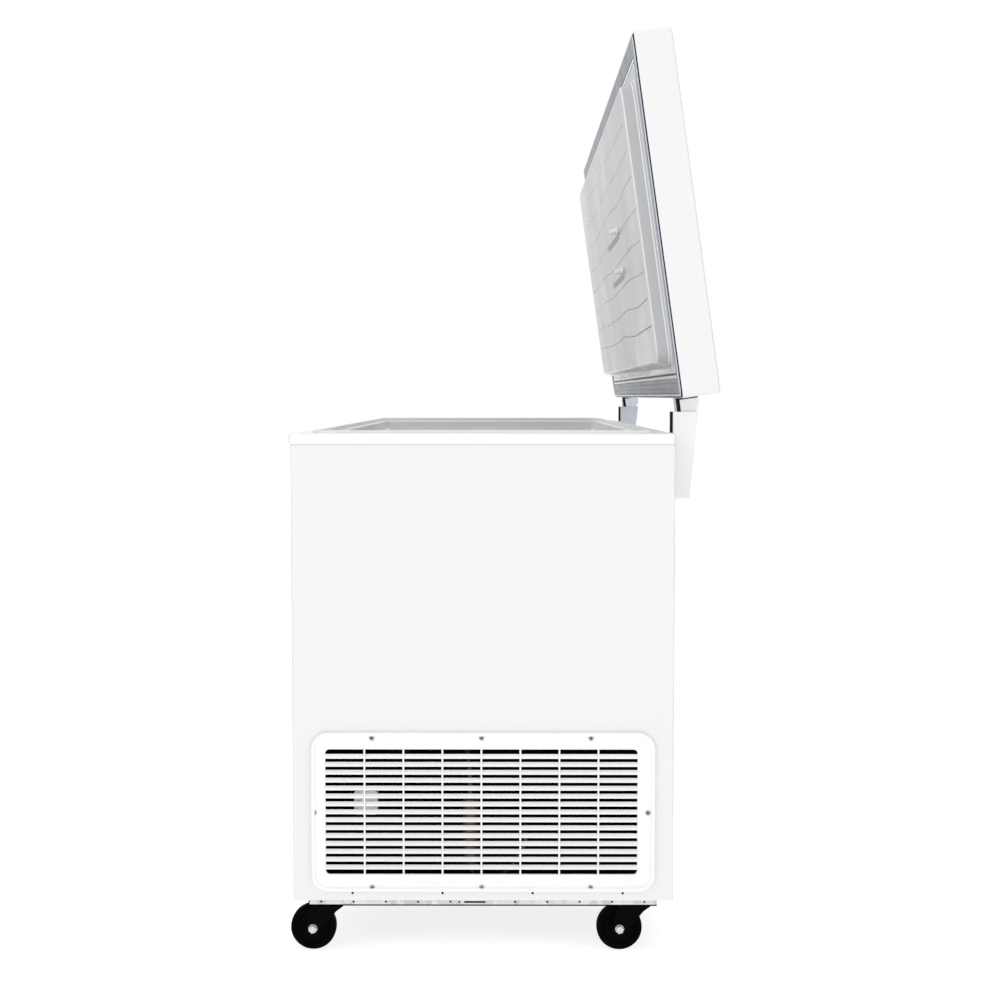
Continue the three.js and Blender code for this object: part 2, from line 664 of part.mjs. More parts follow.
// The plastic shim that wraps the bracket's right-hand edge where it meets the lid, grown by `grow`.
function bracketShim(middle, grow = 0) {
  const edge = middle + BRACKET_WIDTH / 2;
  const section = fromPivot([
    [BRACKET_FACE - grow, -5.9 - grow],
    [-14 + grow, -5.9 - grow],
    [-14 + grow, -0.8 + grow],
    [-33.8 + grow, -0.8 + grow],
    [-33.8 + grow, 28.7 + grow],
    [BRACKET_FACE - grow, 28.7 + grow],
  ]);
  return alongX(section, [edge - BUFFER_WIDTH - grow, edge + grow]);
}

function lidBracket(middle) {
  const half = BRACKET_WIDTH / 2;
  const cheek = half - HINGE_SHEET;
  const hollow = fromPivot(BRACKET_HOLLOW);
  return cut(
    alongX(fromPivot(BRACKET_OUTLINE), [middle - half, middle + half]),
    bracketShim(middle, GAP),
    alongX(hollow, [middle - cheek, middle - CAM_WIDTH / 2]),
    alongX(hollow, [middle + CAM_WIDTH / 2, middle + cheek]),
    rod("x", PIN_RADIUS + GAP, [middle - 40, middle + 40], [PIVOT_Y, PIVOT_Z], 16),
  );
}

function springHinges() {
  for (const [end, side] of ENDS) {
    const middle = side * HINGE_X;
    const half = HINGE_WIDTH / 2 - 0.7;
    add(freezer, `hinge_housing_${end}`, hingeHousing(middle), whitePaint);
    add(freezer, `hinge_buffer_${end}`, hingeBuffer(middle), blackPlastic);
    const pin = rod("x", PIN_RADIUS, [middle - half, middle + half], [PIVOT_Y, PIVOT_Z], 16);
    add(freezer, `hinge_pin_${end}`, pin, zinc);
    const plunger = rod("z", PLUNGER_RADIUS, [PLUNGER_BOTTOM, PLUNGER_TOP], [middle, PIVOT_Y - 1], 16);
    add(freezer, `hinge_plunger_${end}`, plunger, springSteel);
    const springZ = [HINGE_BOTTOM + HINGE_SHEET + GAP, PLUNGER_BOTTOM - GAP];
    const spring = cut(
      rod("z", 10, springZ, [middle, PIVOT_Y - 3], 16),
      rod("z", 7, [600, 900], [middle, PIVOT_Y - 3], 16),
    );
    add(freezer, `hinge_spring_${end}`, spring, springSteel);
    addToLid(`lid_bracket_${end}`, lidBracket(middle), zinc);
    addToLid(`bracket_shim_${end}`, bracketShim(middle), blackPlastic);
  }
}

// ---- Basket ---------------------------------------------------------------------------------------

function wireBasket() {
  const x = [BASKET_LEFT, BASKET_LEFT + BASKET_LENGTH];
  const y = BASKET_HALF_DEPTH;
  const wall = BASKET_WALL;
  const innerX = [x[0] + wall, x[1] - wall];
  const radius = BASKET_RADIUS;
  const inside = roundedRectangle(innerX[0], innerX[1], wall - y, y - wall, radius - wall);
  const basket = cut(
    raise(roundedRectangle(x[0], x[1], -y, y, radius), [BASKET_BOTTOM, BASKET_HANGER_TOP]),
    raise(inside, [BASKET_BOTTOM + wall, BASKET_HANGER_TOP + 1]),
    box([x[0] - 1, x[1] + 1], [radius - y, y - radius], [BASKET_RIM, BASKET_HANGER_TOP + 1]),
  );
  const reach = HALF_DEPTH - OPENING_INSET - 0.8;
  const hangerZ = [LEDGE_TOP + GAP, BASKET_HANGER_TOP];
  const hanger = box([x[0] + radius, x[1] - radius], [y - 2, reach], hangerZ);
  const frontHanger = hanger.clone().translate(0, 2 - y - reach, 0);
  add(freezer, "wire_basket", join(basket, hanger, frontHanger), coatedWire);
}

// ---- Casters --------------------------------------------------------------------------------------

// Side outline of the fork, from the stem's axis: the crown, then legs that lead forward to the axle.
function forkOutline() {
  const shape = new THREE.Shape();
  shape.moveTo(-23, CROWN_TOP);
  shape.lineTo(-31, 66);
  shape.lineTo(-37, WHEEL_RADIUS);
  shape.absarc(-CASTER_TRAIL, WHEEL_RADIUS, 12, Math.PI, 1.85 * Math.PI);
  shape.lineTo(12, 66);
  shape.lineTo(23, CROWN_TOP);
  shape.closePath();
  return shape;
}

function caster(name, x, stemY, side) {
  const wheelY = stemY - CASTER_TRAIL;
  const plateZ = [CROWN_TOP + 2.7, RAIL_BOTTOM - GAP];
  const plate = join(
    box([x - 38, x + 38], [stemY - 30, stemY + 30], plateZ),
    rod("z", 17, [CROWN_TOP + GAP, plateZ[0] + 1], [x, stemY], 12),
    rod("z", 5, [69, plateZ[1] - 0.5], [x, stemY], 8),
    rod("z", 8, [68.3, 70.6], [x, stemY], 8),
  );
  add(freezer, `caster_plate_${name}`, plate, blackSteel);

  const inner = FORK_HALF_WIDTH - FORK_SHEET;
  const shell = alongX(forkOutline(), [-FORK_HALF_WIDTH, FORK_HALF_WIDTH]).translate(x, stemY, 0);
  const fork = cut(
    shell,
    box([x - inner, x + inner], [stemY - 60, stemY + 60], [0, 71]),
    rod("z", 5.8, [60, 90], [x, stemY], 8),
    rod("x", 4.4, [x - 30, x + 30], [wheelY, WHEEL_RADIUS], 8),
  );
  add(freezer, `caster_fork_${name}`, fork, blackSteel);

  const tread = WHEEL_RADIUS / Math.cos(Math.PI / WHEEL_SIDES);
  const half = WHEEL_WIDTH / 2;
  const profile = [
    [4.4, -13],
    [12, -13],
    [tread - 7, -half],
    [tread - 2, 3 - half],
    [tread, 0],
    [tread - 2, half - 3],
    [tread - 7, half],
    [12, 13],
    [4.4, 13],
    [4.4, -13],
  ].map(([r, w]) => new THREE.Vector2(r, w));
  const wheel = new THREE.LatheGeometry(profile, WHEEL_SIDES)
    .rotateZ(-Math.PI / 2)
    .rotateX(Math.PI / WHEEL_SIDES)
    .translate(x, wheelY, WHEEL_RADIUS);
  add(freezer, `caster_wheel_${name}`, wheel, blackPlastic);

  const seat = FORK_HALF_WIDTH + GAP;
  const head = rod("x", 7.5, [seat, seat + 7], [0, WHEEL_RADIUS], 6);
  const nut = rod("x", 7.5, [-seat - 6, -seat], [0, WHEEL_RADIUS], 6);
  const bolt = rod("x", PIN_RADIUS, [-24, 24], [0, WHEEL_RADIUS], 8);
  const axle = join(head, nut, bolt).rotateZ(side > 0 ? 0 : Math.PI);
  add(freezer, `caster_axle_${name}`, axle.translate(x, wheelY, 0), zinc);
}

function casters() {
  for (const [end, side] of ENDS) {
    caster(`front_${end}`, side * CASTER_X, STEM_Y[0], side);
    caster(`back_${end}`, side * CASTER_X, STEM_Y[1], side);
  }
}

// ---- The whole freezer ----------------------------------------------------------------------------

cabinetPanels();
machineBayDivider();
insulationAndLiner();
rimAndCollar();
baseRails();
louvreGrille();
compressor();
condenserAndFan();
refrigerantLine();
controls();
cableGland();
lidPieces();
springHinges();
wireBasket();
casters();

// The origin is the middle of the footprint, on the floor.
freezer.updateMatrixWorld(true);
const bounds = new THREE.Box3().setFromObject(freezer, true);
const middle = bounds.getCenter(new THREE.Vector3());
freezer.position.set(-middle.x, -middle.y, -bounds.min.z);

export default freezer;
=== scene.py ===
"""A white chest freezer on casters, its lid held open by two spring hinges."""

import json
import math
import random

import bmesh
import bpy
from mathutils import Matrix, Vector
from mathutils.geometry import tessellate_polygon


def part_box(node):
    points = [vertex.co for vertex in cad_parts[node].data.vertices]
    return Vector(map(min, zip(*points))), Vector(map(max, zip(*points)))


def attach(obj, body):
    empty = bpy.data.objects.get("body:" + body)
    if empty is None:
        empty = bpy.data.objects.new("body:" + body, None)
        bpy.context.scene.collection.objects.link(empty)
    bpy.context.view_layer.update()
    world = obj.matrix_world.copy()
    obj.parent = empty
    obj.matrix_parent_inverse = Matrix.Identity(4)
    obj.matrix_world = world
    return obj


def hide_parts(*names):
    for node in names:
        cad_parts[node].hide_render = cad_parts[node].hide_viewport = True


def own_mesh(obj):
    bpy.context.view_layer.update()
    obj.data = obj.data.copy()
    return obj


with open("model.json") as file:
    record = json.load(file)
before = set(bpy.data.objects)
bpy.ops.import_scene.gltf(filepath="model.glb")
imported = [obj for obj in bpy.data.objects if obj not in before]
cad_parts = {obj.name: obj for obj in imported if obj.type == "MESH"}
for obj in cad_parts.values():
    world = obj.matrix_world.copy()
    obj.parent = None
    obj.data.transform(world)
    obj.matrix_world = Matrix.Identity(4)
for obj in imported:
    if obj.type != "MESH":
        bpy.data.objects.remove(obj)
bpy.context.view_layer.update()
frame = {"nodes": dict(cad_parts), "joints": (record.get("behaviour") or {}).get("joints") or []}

# ---- Frame ---------------------------------------------------------------------------------------
# Shapes are drawn in millimetres about the middle of the cabinet's footprint; TO_ROW carries them to the row
# frame. Lid pieces are drawn in their closed place, and LID carries them round the hinge pin to where the lid
# rests, open.

JOINTS = {joint["name"]: joint for joint in frame["joints"]}
right_face, left_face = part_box("side_panel_right"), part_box("side_panel_left")
MIDDLE = Vector(((right_face[1].x + left_face[0].x) / 2, (right_face[0].y + right_face[1].y) / 2, 0))
TO_ROW = Matrix.Translation(MIDDLE) @ Matrix.Scale(0.001, 4)


def span(node):
    """The two corners of a CAD node's box, in millimetres."""
    low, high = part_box(node)
    return (low - MIDDLE) * 1000, (high - MIDDLE) * 1000


PIN = (Vector(JOINTS["lid_swing"]["pos_m"]) - MIDDLE) * 1000
OPEN = math.radians(JOINTS["lid_swing"]["range_deg"][1])
LID = (
    TO_ROW
    @ Matrix.Translation(PIN)
    @ Matrix.Rotation(-OPEN, 4, "X")
    @ Matrix.Translation(-PIN)
)

# ---- Materials -----------------------------------------------------------------------------------


def noise(scale, detail, stretch=(1, 1, 1)):
    """Soft random patches, as the pattern of a finish."""
    return "noise", scale, detail, stretch


def cells(scale, stretch=(1, 1, 1)):
    """Flat random cells, as the pattern of a finish."""
    return "cells", scale, 0, stretch


# The part of each pattern's range that a finish uses.
PATTERN_RANGE = {"noise": (0.3, 0.7), "cells": (0.1, 0.9)}


def finish(name, color, roughness, shade, rub=None, bump=None, metallic=0.0, **fixed):
    """A procedural material, in object space.

    shade is (pattern, darkest): the colour, down to `darkest` times itself.
    rub is (pattern, low, high): the roughness. bump is (pattern, strength, metres): the relief.
    """
    material = bpy.data.materials.new(name)
    material.use_nodes = True
    material.diffuse_color = (*color, 1.0)
    tree = material.node_tree
    shader = tree.nodes["Principled BSDF"]
    coordinates = tree.nodes.new("ShaderNodeTexCoord").outputs["Object"]

    def node(kind, result, sockets, **settings):
        """A node's output; each socket takes another node's output or a value."""
        made = tree.nodes.new(kind)
        for key, value in settings.items():
            setattr(made, key, value)
        for socket, value in sockets.items():
            if isinstance(value, bpy.types.NodeSocket):
                tree.links.new(value, made.inputs[socket])
            else:
                made.inputs[socket].default_value = value
        return made.outputs[result]

    def drawn(kind, scale, detail, stretch):
        vector = node("ShaderNodeMapping", "Vector", {"Vector": coordinates, "Scale": stretch})
        if kind == "cells":
            return node("ShaderNodeTexVoronoi", "Color", {"Vector": vector, "Scale": scale})
        return node("ShaderNodeTexNoise", "Fac", {"Vector": vector, "Scale": scale, "Detail": detail})

    def remapped(pattern, low, high):
        bottom, top = PATTERN_RANGE[pattern[0]]
        sockets = {"From Min": bottom, "From Max": top, "To Min": low, "To Max": high}
        sockets["Value"] = drawn(*pattern)
        return node("ShaderNodeMapRange", "Result", sockets)

    values = {"Base Color": (*color, 1.0), "Roughness": roughness, "Metallic": metallic}
    values.update({socket.replace("_", " "): value for socket, value in fixed.items()})
    for socket, value in values.items():
        shader.inputs[socket].default_value = value
    pattern, darkest = shade
    dark = (*(channel * darkest for channel in color), 1.0)
    sockets = {0: remapped(pattern, 0, 1), 6: dark, 7: (*color, 1.0)}
    tree.links.new(node("ShaderNodeMix", 2, sockets, data_type="RGBA"), shader.inputs["Base Color"])
    if rub:
        tree.links.new(remapped(*rub), shader.inputs["Roughness"])
    if bump:
        pattern, strength, distance = bump
        sockets = {"Height": drawn(*pattern), "Strength": strength, "Distance": distance}
        tree.links.new(node("ShaderNodeBump", "Normal", sockets), shader.inputs["Normal"])
    return material


FINISH = {
    "body_white": finish(
        "white_powder_paint", (0.785, 0.787, 0.79), 0.36,
        (noise(2.2, 3), 0.985), (noise(7, 4), 0.32, 0.42), (noise(900, 1), 0.12, 0.0004),
        Coat_Weight=0.15, Coat_Roughness=0.25,
    ),
    "trim_white": finish(
        "white_moulded_plastic", (0.87, 0.872, 0.875), 0.42,
        (noise(5, 3), 0.985), (noise(20, 4), 0.36, 0.46), (noise(1600, 2), 0.08, 0.0002),
    ),
    "liner_grey": finish(
        "grey_vacuum_formed_liner", (0.52, 0.525, 0.54), 0.34,
        (noise(3, 2), 0.965), (noise(5, 2), 0.24, 0.36), (noise(3.5, 1), 0.06, 0.002),
        Specular_IOR_Level=0.4,
    ),
    "gasket_grey": finish(
        "grey_gasket_vinyl", (0.26, 0.272, 0.305), 0.42,
        (noise(30, 3, (0.2, 1, 1)), 0.9), (noise(40, 3), 0.36, 0.5), (noise(500, 2), 0.08, 0.0003),
    ),
    "foam": finish(
        "cream_polyurethane_foam", (0.78, 0.69, 0.42), 0.95,
        (noise(60, 5), 0.82), (noise(90, 3), 0.88, 1.0), (cells(700), 0.5, 0.001),
    ),
    "galvanised_steel": finish(
        "spangled_galvanised_steel", (0.72, 0.73, 0.74), 0.42,
        (cells(90, (1, 1, 0.6)), 0.68), (cells(130), 0.3, 0.55), (noise(300, 3), 0.15, 0.0003),
        metallic=0.75,
    ),
    "zinc_steel": finish(
        "bright_zinc_plated_steel", (0.7, 0.73, 0.79), 0.3,
        (noise(60, 4), 0.8), (noise(120, 4), 0.22, 0.42), (noise(400, 2), 0.08, 0.0003),
        metallic=0.9,
    ),
    "spring_steel": finish(
        "oiled_spring_steel", (0.33, 0.34, 0.36), 0.32,
        (noise(150, 3), 0.75), (noise(200, 3), 0.24, 0.42), (noise(600, 2), 0.1, 0.0002),
        metallic=0.95,
    ),
    "black_plastic": finish(
        "black_moulded_plastic", (0.006, 0.0062, 0.0066), 0.5,
        (noise(40, 3), 0.7), (noise(80, 3), 0.42, 0.6), (noise(1200, 2), 0.12, 0.0002),
        Specular_IOR_Level=0.18,
    ),
    "tread_black": finish(
        "black_wheel_rubber", (0.0016, 0.0016, 0.0019), 0.55,
        (noise(70, 4), 0.65), (noise(60, 4), 0.5, 0.75), (noise(900, 3), 0.2, 0.0003),
        Specular_IOR_Level=0.025,
    ),
    "black_steel": finish(
        "black_enamelled_steel", (0.0014, 0.0014, 0.0016), 0.4,
        (noise(50, 3), 0.7), (noise(70, 3), 0.3, 0.48), (noise(700, 2), 0.12, 0.0003),
        Specular_IOR_Level=0.03,
    ),
    # The copper tube's colour is darkened far below copper's, as painted shade for the dark machine bay.
    "copper": finish(
        "shade_darkened_copper_tube", (0.16, 0.09, 0.062), 0.4,
        (noise(80, 4), 0.7), (noise(120, 3), 0.26, 0.48), (noise(500, 2), 0.08, 0.0002),
        metallic=0.6,
    ),
    "coated_wire": finish(
        "plastic_coated_wire", (0.8, 0.81, 0.82), 0.34,
        (noise(50, 3), 0.93), (noise(90, 3), 0.28, 0.42), (noise(800, 2), 0.08, 0.0002),
    ),
}
# Grey painted as shade: on the floors of the lid's grooves and in the shallow slots beside the lid pegs.
PAINTED_SHADE_GREY = finish(
    "painted_shade_grey_strip", (0.38, 0.39, 0.4), 0.6,
    (noise(25, 3), 0.93), (noise(60, 3), 0.5, 0.7), (noise(600, 2), 0.08, 0.0002),
)
# A darker, bluish copy of the white paint, painted as the shade on the far (left) hinge housing.
SHADED_WHITE_PAINT = finish(
    "painted_shade_white_paint", (0.6, 0.625, 0.69), 0.38,
    (noise(9, 3), 0.94), (noise(20, 3), 0.32, 0.46), (noise(900, 1), 0.12, 0.0004),
)
# A brighter copy of the white paint, painted as light on the near (right) hinge housing and lid bracket, and
# as the highlight on the lid pegs.
LIT_WHITE_PAINT = finish(
    "painted_light_white_paint", (0.96, 0.962, 0.965), 0.38,
    (noise(9, 3), 0.97), (noise(20, 3), 0.32, 0.46), (noise(900, 1), 0.1, 0.0004),
)
# A pale copy of the liner grey, painted as the highlight along the lid liner's fillets and lip walls.
HIGHLIGHT_LINER = finish(
    "painted_highlight_liner_edge", (0.9, 0.905, 0.91), 0.3,
    (noise(6, 2), 0.95), (noise(9, 2), 0.24, 0.36), (noise(300, 1), 0.04, 0.0002),
)
COLLAR_LINER = finish(
    "light_grey_collar", (0.83, 0.84, 0.85), 0.32,
    (noise(6, 2), 0.95), (noise(9, 2), 0.26, 0.4), (noise(300, 1), 0.04, 0.0002),
)
# A pale blue-grey copy of the gasket vinyl, painted as the highlight along the seal's outer bulb.
HIGHLIGHT_VINYL = finish(
    "painted_highlight_vinyl", (0.62, 0.68, 0.78), 0.25,
    (noise(12, 2), 0.9), (noise(20, 2), 0.2, 0.34), (noise(300, 1), 0.04, 0.0002),
)
SCREW_STEEL = finish(
    "passivated_screw_steel", (0.55, 0.55, 0.56), 0.35,
    (noise(200, 3), 0.5), (noise(300, 3), 0.28, 0.45), (noise(900, 2), 0.1, 0.0002),
    metallic=0.6,
)
# Near-black galvanised steel, painted as the shade in the machine bay on the tray and divider.
PAINTED_SHADE_STEEL = finish(
    "shaded_galvanised_steel", (0.012, 0.012, 0.013), 0.6,
    (cells(90), 0.5), (cells(130), 0.5, 0.7), (noise(300, 3), 0.1, 0.0003),
    Specular_IOR_Level=0.1,
)

# ---- Mesh tools ----------------------------------------------------------------------------------


def PLAN(a, b, w):
    """An outline drawn in X and Y, with w along Z."""
    return Vector((a, b, w))


def SIDE(a, b, w):
    """An outline drawn in Y and Z, with w along X."""
    return Vector((w, a, b))


def FRONT(a, b, w):
    """An outline drawn in X and Z, with w along Y."""
    return Vector((a, w, b))


def arc(centre, radius, start, end, steps):
    """Points on an arc, angles in degrees."""
    return [
        (
            centre[0] + radius * math.cos(math.radians(start + (end - start) * i / steps)),
            centre[1] + radius * math.sin(math.radians(start + (end - start) * i / steps)),
        )
        for i in range(steps + 1)
    ]


def rounded_rectangle(x0, x1, y0, y1, radius, steps=6):
    radius = max(radius, 0.01)
    return (
        arc((x1 - radius, y0 + radius), radius, -90, 0, steps)
        + arc((x1 - radius, y1 - radius), radius, 0, 90, steps)
        + arc((x0 + radius, y1 - radius), radius, 90, 180, steps)
        + arc((x0 + radius, y0 + radius), radius, 180, 270, steps)
    )


def circle(a, b, radius, steps=20):
    return arc((a, b), radius, 0, 360, steps)[:-1]


def softened(points, radius, steps=4):
    """The outline with each corner rounded; a shorter neighbouring edge makes its corners tighter."""
    corners = [Vector(p).to_2d() for p in points]
    radii = radius if isinstance(radius, (list, tuple)) else [radius] * len(corners)
    made = []
    for i, corner in enumerate(corners):
        if radii[i] <= 0:
            made.append(tuple(corner))
            continue
        before = corners[i - 1] - corner
        after = corners[(i + 1) % len(corners)] - corner
        half = before.angle(after) / 2
        reach = min(radii[i] / math.tan(half), before.length * 0.49, after.length * 0.49)
        start = corner + before.normalized() * reach
        end = corner + after.normalized() * reach
        for k in range(steps + 1):
            t = k / steps
            made.append(tuple(start * (1 - t) ** 2 + corner * 2 * t * (1 - t) + end * t * t))
    return made


def band(mesh, near, far, turn=0):
    """Quads between two rings of the same length; turn is how many points the far one is turned by."""
    count = len(near)
    return [
        mesh.faces.new((near[i], near[(i + 1) % count], far[(i + 1 + turn) % count], far[(i + turn) % count]))
        for i in range(count)
    ]


def chained(rings, closed):
    """Each ring with the next one; when closed, the last with the first as well."""
    pairs = list(zip(rings, rings[1:] + rings[:1]))
    return pairs if closed else pairs[:-1]


def hoop(mesh, loops, place=PLAN, closed=False, caps=False):
    """A band between successive loops, each (outline, w) with the same number of points."""
    rings = [[mesh.verts.new(place(a, b, w)) for a, b in outline] for outline, w in loops]
    for near, far in chained(rings, closed):
        band(mesh, near, far)
    if caps:
        mesh.faces.new(list(reversed(rings[0])))
        mesh.faces.new(rings[-1])


def plate(mesh, outline, w0, w1, place=PLAN, holes=()):
    """A flat sheet of any outline, with holes right through."""
    loops = [outline, *holes]
    flat = [Vector((a, b, 0)) for loop in loops for a, b in loop]
    triangles = tessellate_polygon([[Vector((a, b, 0)) for a, b in loop] for loop in loops])
    sides = [[mesh.verts.new(place(p.x, p.y, w)) for p in flat] for w in (w0, w1)]
    for side in sides:
        for triangle in triangles:
            mesh.faces.new([side[i] for i in triangle])
    start = 0
    for loop in loops:
        for i in range(len(loop)):
            a, b = start + i, start + (i + 1) % len(loop)
            mesh.faces.new((sides[0][a], sides[0][b], sides[1][b], sides[1][a]))
        start += len(loop)


def block(mesh, x, y, z):
    plate(mesh, [(x[0], y[0]), (x[1], y[0]), (x[1], y[1]), (x[0], y[1])], z[0], z[1])


def lathe(mesh, profile, centre, axis, steps=48, start=0.0, closed=False):
    """A profile of (radius, distance along) turned about an axis through the centre."""
    placed = {"x": lambda c, s, w: (w, c, s), "z": lambda c, s, w: (c, s, w)}[axis]
    rings = []
    for radius, along in profile:
        ring = []
        for i in range(steps):
            angle = start + 2 * math.pi * i / steps
            offset = placed(radius * math.cos(angle), radius * math.sin(angle), along)
            ring.append(mesh.verts.new(Vector(centre) + Vector(offset)))
        rings.append(ring)
    for near, far in chained(rings, closed):
        band(mesh, near, far)
    if not closed:
        mesh.faces.new(rings[0])
        mesh.faces.new(rings[-1])


def rod(mesh, radius, ends, centre, axis, edge, steps=32):
    """A round bar with softened ends."""
    low, high = ends
    profile = [(radius - edge, low), (radius, low + edge), (radius, high - edge), (radius - edge, high)]
    lathe(mesh, profile, centre, axis, steps)


def sweep(mesh, path, radius, sides=10, closed=False):
    """A round bar along a path."""
    points = [Vector(p) for p in path]
    count = len(points)
    tangents = []
    for i in range(count):
        before = points[i - 1] if closed or i > 0 else points[i]
        after = points[(i + 1) % count] if closed or i < count - 1 else points[i]
        tangents.append((after - before).normalized())
    normal = tangents[0].orthogonal().normalized()
    rings = []
    for i, (point, tangent) in enumerate(zip(points, tangents)):
        if i:
            normal = (tangents[i - 1].rotation_difference(tangent) @ normal).normalized()
        side = tangent.cross(normal)
        ring = []
        for k in range(sides):
            angle = 2 * math.pi * k / sides
            offset = normal * math.cos(angle) * radius + side * math.sin(angle) * radius
            ring.append(mesh.verts.new(point + offset))
        rings.append(ring)
    for near, far in chained(rings, False):
        band(mesh, near, far)
    if closed:
        gaps = [(vertex.co - rings[-1][0].co).length for vertex in rings[0]]
        band(mesh, rings[-1], rings[0], gaps.index(min(gaps)))
    else:
        mesh.faces.new(rings[0])
        mesh.faces.new(rings[-1])


def bent(points, radius, steps=5, closed=False):
    """A path in space with rounded corners."""
    corners = [Vector(p) for p in points]
    made = []
    for i, corner in enumerate(corners):
        if not closed and i in (0, len(corners) - 1):
            made.append(corner)
            continue
        before = corners[i - 1] - corner
        after = corners[(i + 1) % len(corners)] - corner
        reach = min(radius, before.length * 0.49, after.length * 0.49)
        start = corner + before.normalized() * reach
        end = corner + after.normalized() * reach
        for k in range(steps + 1):
            t = k / steps
            made.append(start * (1 - t) ** 2 + corner * 2 * t * (1 - t) + end * t * t)
    return made


def weighted(piece):
    modifier = piece.modifiers.new("weighted_normals", "WEIGHTED_NORMAL")
    modifier.keep_sharp = True
    modifier.weight = 80


def rounded_edges(piece, width, steps=2):
    modifier = piece.modifiers.new("rounded_edges", "BEVEL")
    modifier.width = width * 0.001
    modifier.segments = steps
    modifier.limit_method = "ANGLE"
    modifier.angle_limit = math.radians(32)
    modifier.use_clamp_overlap = True
    modifier.harden_normals = True


def piece(
    name, mesh, body, slot, replaces=(), edge=0.0, angle=38, to=TO_ROW, material=None, steps=2, more=()
):
    """Turns the mesh into an object that rides on a CAD body; `more` are its second, third... materials."""
    bmesh.ops.remove_doubles(mesh, verts=mesh.verts, dist=0.001)
    bmesh.ops.recalc_face_normals(mesh, faces=mesh.faces)
    for face in mesh.faces:
        face.smooth = True
    limit = math.radians(angle)
    for line in mesh.edges:
        line.smooth = line.is_manifold and line.calc_face_angle(0.0) < limit
    mesh.transform(to)
    data = bpy.data.meshes.new(name)
    mesh.to_mesh(data)
    mesh.free()
    for each in (material or FINISH[slot], *more):
        data.materials.append(each)
    made = bpy.data.objects.new(name, data)
    bpy.context.scene.collection.objects.link(made)
    if edge:
        rounded_edges(made, edge, steps)
    else:
        weighted(made)
    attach(made, body)
    if replaces:
        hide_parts(*replaces)
    return made


def dress(node, slot, edge=0.4, material=None):
    """Gives a CAD node its finish and softened edges."""
    shown = frame["nodes"][node]
    shown.data.materials.clear()
    shown.data.materials.append(material or FINISH[slot])
    weld = shown.modifiers.new("weld", "WELD")
    weld.merge_threshold = 0.00001
    rounded_edges(shown, edge)


ENDS = (("right", 1), ("left", -1))

# ---- Cabinet -------------------------------------------------------------------------------------

SHEET = 1.0
COLLAR_CORNER = 14


def side_panel(name, end, louvred):
    """A folded steel side: a flat face with holes, and a return onto the front and the back."""
    low, high = span(name)
    face = high.x if end > 0 else low.x
    y = high.y
    bend = 3.0
    flat = y - bend
    first, pitch, height, radius = -197.2, 136, 102, 1.9
    holes = [circle(first + pitch * k, height, radius, 14) for k in range(4)]
    if louvred:
        holes.append(rounded_rectangle(-240, 235, 129, 325, 6))
    mesh = bmesh.new()
    outline = [(-flat, low.z), (flat, low.z), (flat, high.z), (-flat, high.z)]
    plate(mesh, outline, face - end * SHEET, face, SIDE, holes)
    outward = 90 - 90 * end
    for side in (1, -1):
        centre = (face - end * bend, side * flat)
        turned = outward + 90 * end * side
        outer = arc(centre, bend, outward, turned, 8)
        inner = arc(centre, bend - SHEET, outward, turned, 8)
        tip = face - end * 14
        loop = outer + [(tip, side * y), (tip, side * (y - SHEET))] + inner[::-1]
        plate(mesh, loop, low.z, high.z)
    piece(name + "_sheet", mesh, "cabinet", "body_white", [name])


def framed_loops(profile, rectangle, radius, steps=6):
    """Loops for hoop(): the profile is (inset, w), the rectangle (x0, x1, y0, y1) at inset 0."""
    x0, x1, y0, y1 = rectangle
    return [
        (rounded_rectangle(x0 + i, x1 - i, y0 + i, y1 - i, max(radius - i, 2.0), steps), w)
        for i, w in profile
    ]


def quarter_round(radius, z):
    """The (inset, w) points of a rounded upper edge that ends at height z."""
    return [
        (radius - radius * math.cos(math.radians(a)), z - radius + radius * math.sin(math.radians(a)))
        for a in range(0, 91, 15)
    ]


def top_rim():
    low, high = span("top_frame")
    outer = (low.x, high.x, low.y, high.y)
    rise = quarter_round(4.0, high.z)
    loops = framed_loops([(1.0, low.z), (0.3, low.z + 0.3), (0.0, low.z + 1.0), *rise], outer, 6)
    collar_low, collar_high = span("breaker_collar")
    inner = (collar_low.x - 0.3, collar_high.x + 0.3, collar_low.y - 0.3, collar_high.y + 0.3)
    mouth = [(-0.5, high.z), (0.0, high.z - 0.5), (0.0, low.z + 0.6), (-0.6, low.z)]
    loops += framed_loops(mouth, inner, COLLAR_CORNER)
    mesh = bmesh.new()
    hoop(mesh, loops, closed=True)
    piece("top_rim", mesh, "cabinet", "trim_white", ["top_frame"])


def breaker_collar():
    """The stepped collar round the opening, its section measured in from the cabinet's sides."""
    low, high = span("breaker_collar")
    base = 29.8
    section = [(29.8, 784), (29.8, 800), (35, 800), (35.6, 792), (40.4, 792), (41.0, 770)]
    section += [(48.5, 770), (49.0, 750), (47.0, 750), (46.5, 767), (38.6, 767), (38.4, 784)]
    radii = [0.5, 1.4, 1.4, 1.6, 1.4, 1.6, 1.6, 0.4, 0.4, 0.4, 0.4, 0.4]
    profile = [(a - base, z) for a, z in softened(section, radii, 4)]
    loops = [
        (rounded_rectangle(low.x + i, high.x - i, low.y + i, high.y - i, COLLAR_CORNER, 8), z)
        for i, z in profile
    ]
    mesh = bmesh.new()
    hoop(mesh, loops, closed=True)
    piece("liner_collar", mesh, "cabinet", "liner_grey", ["breaker_collar"], material=COLLAR_LINER)


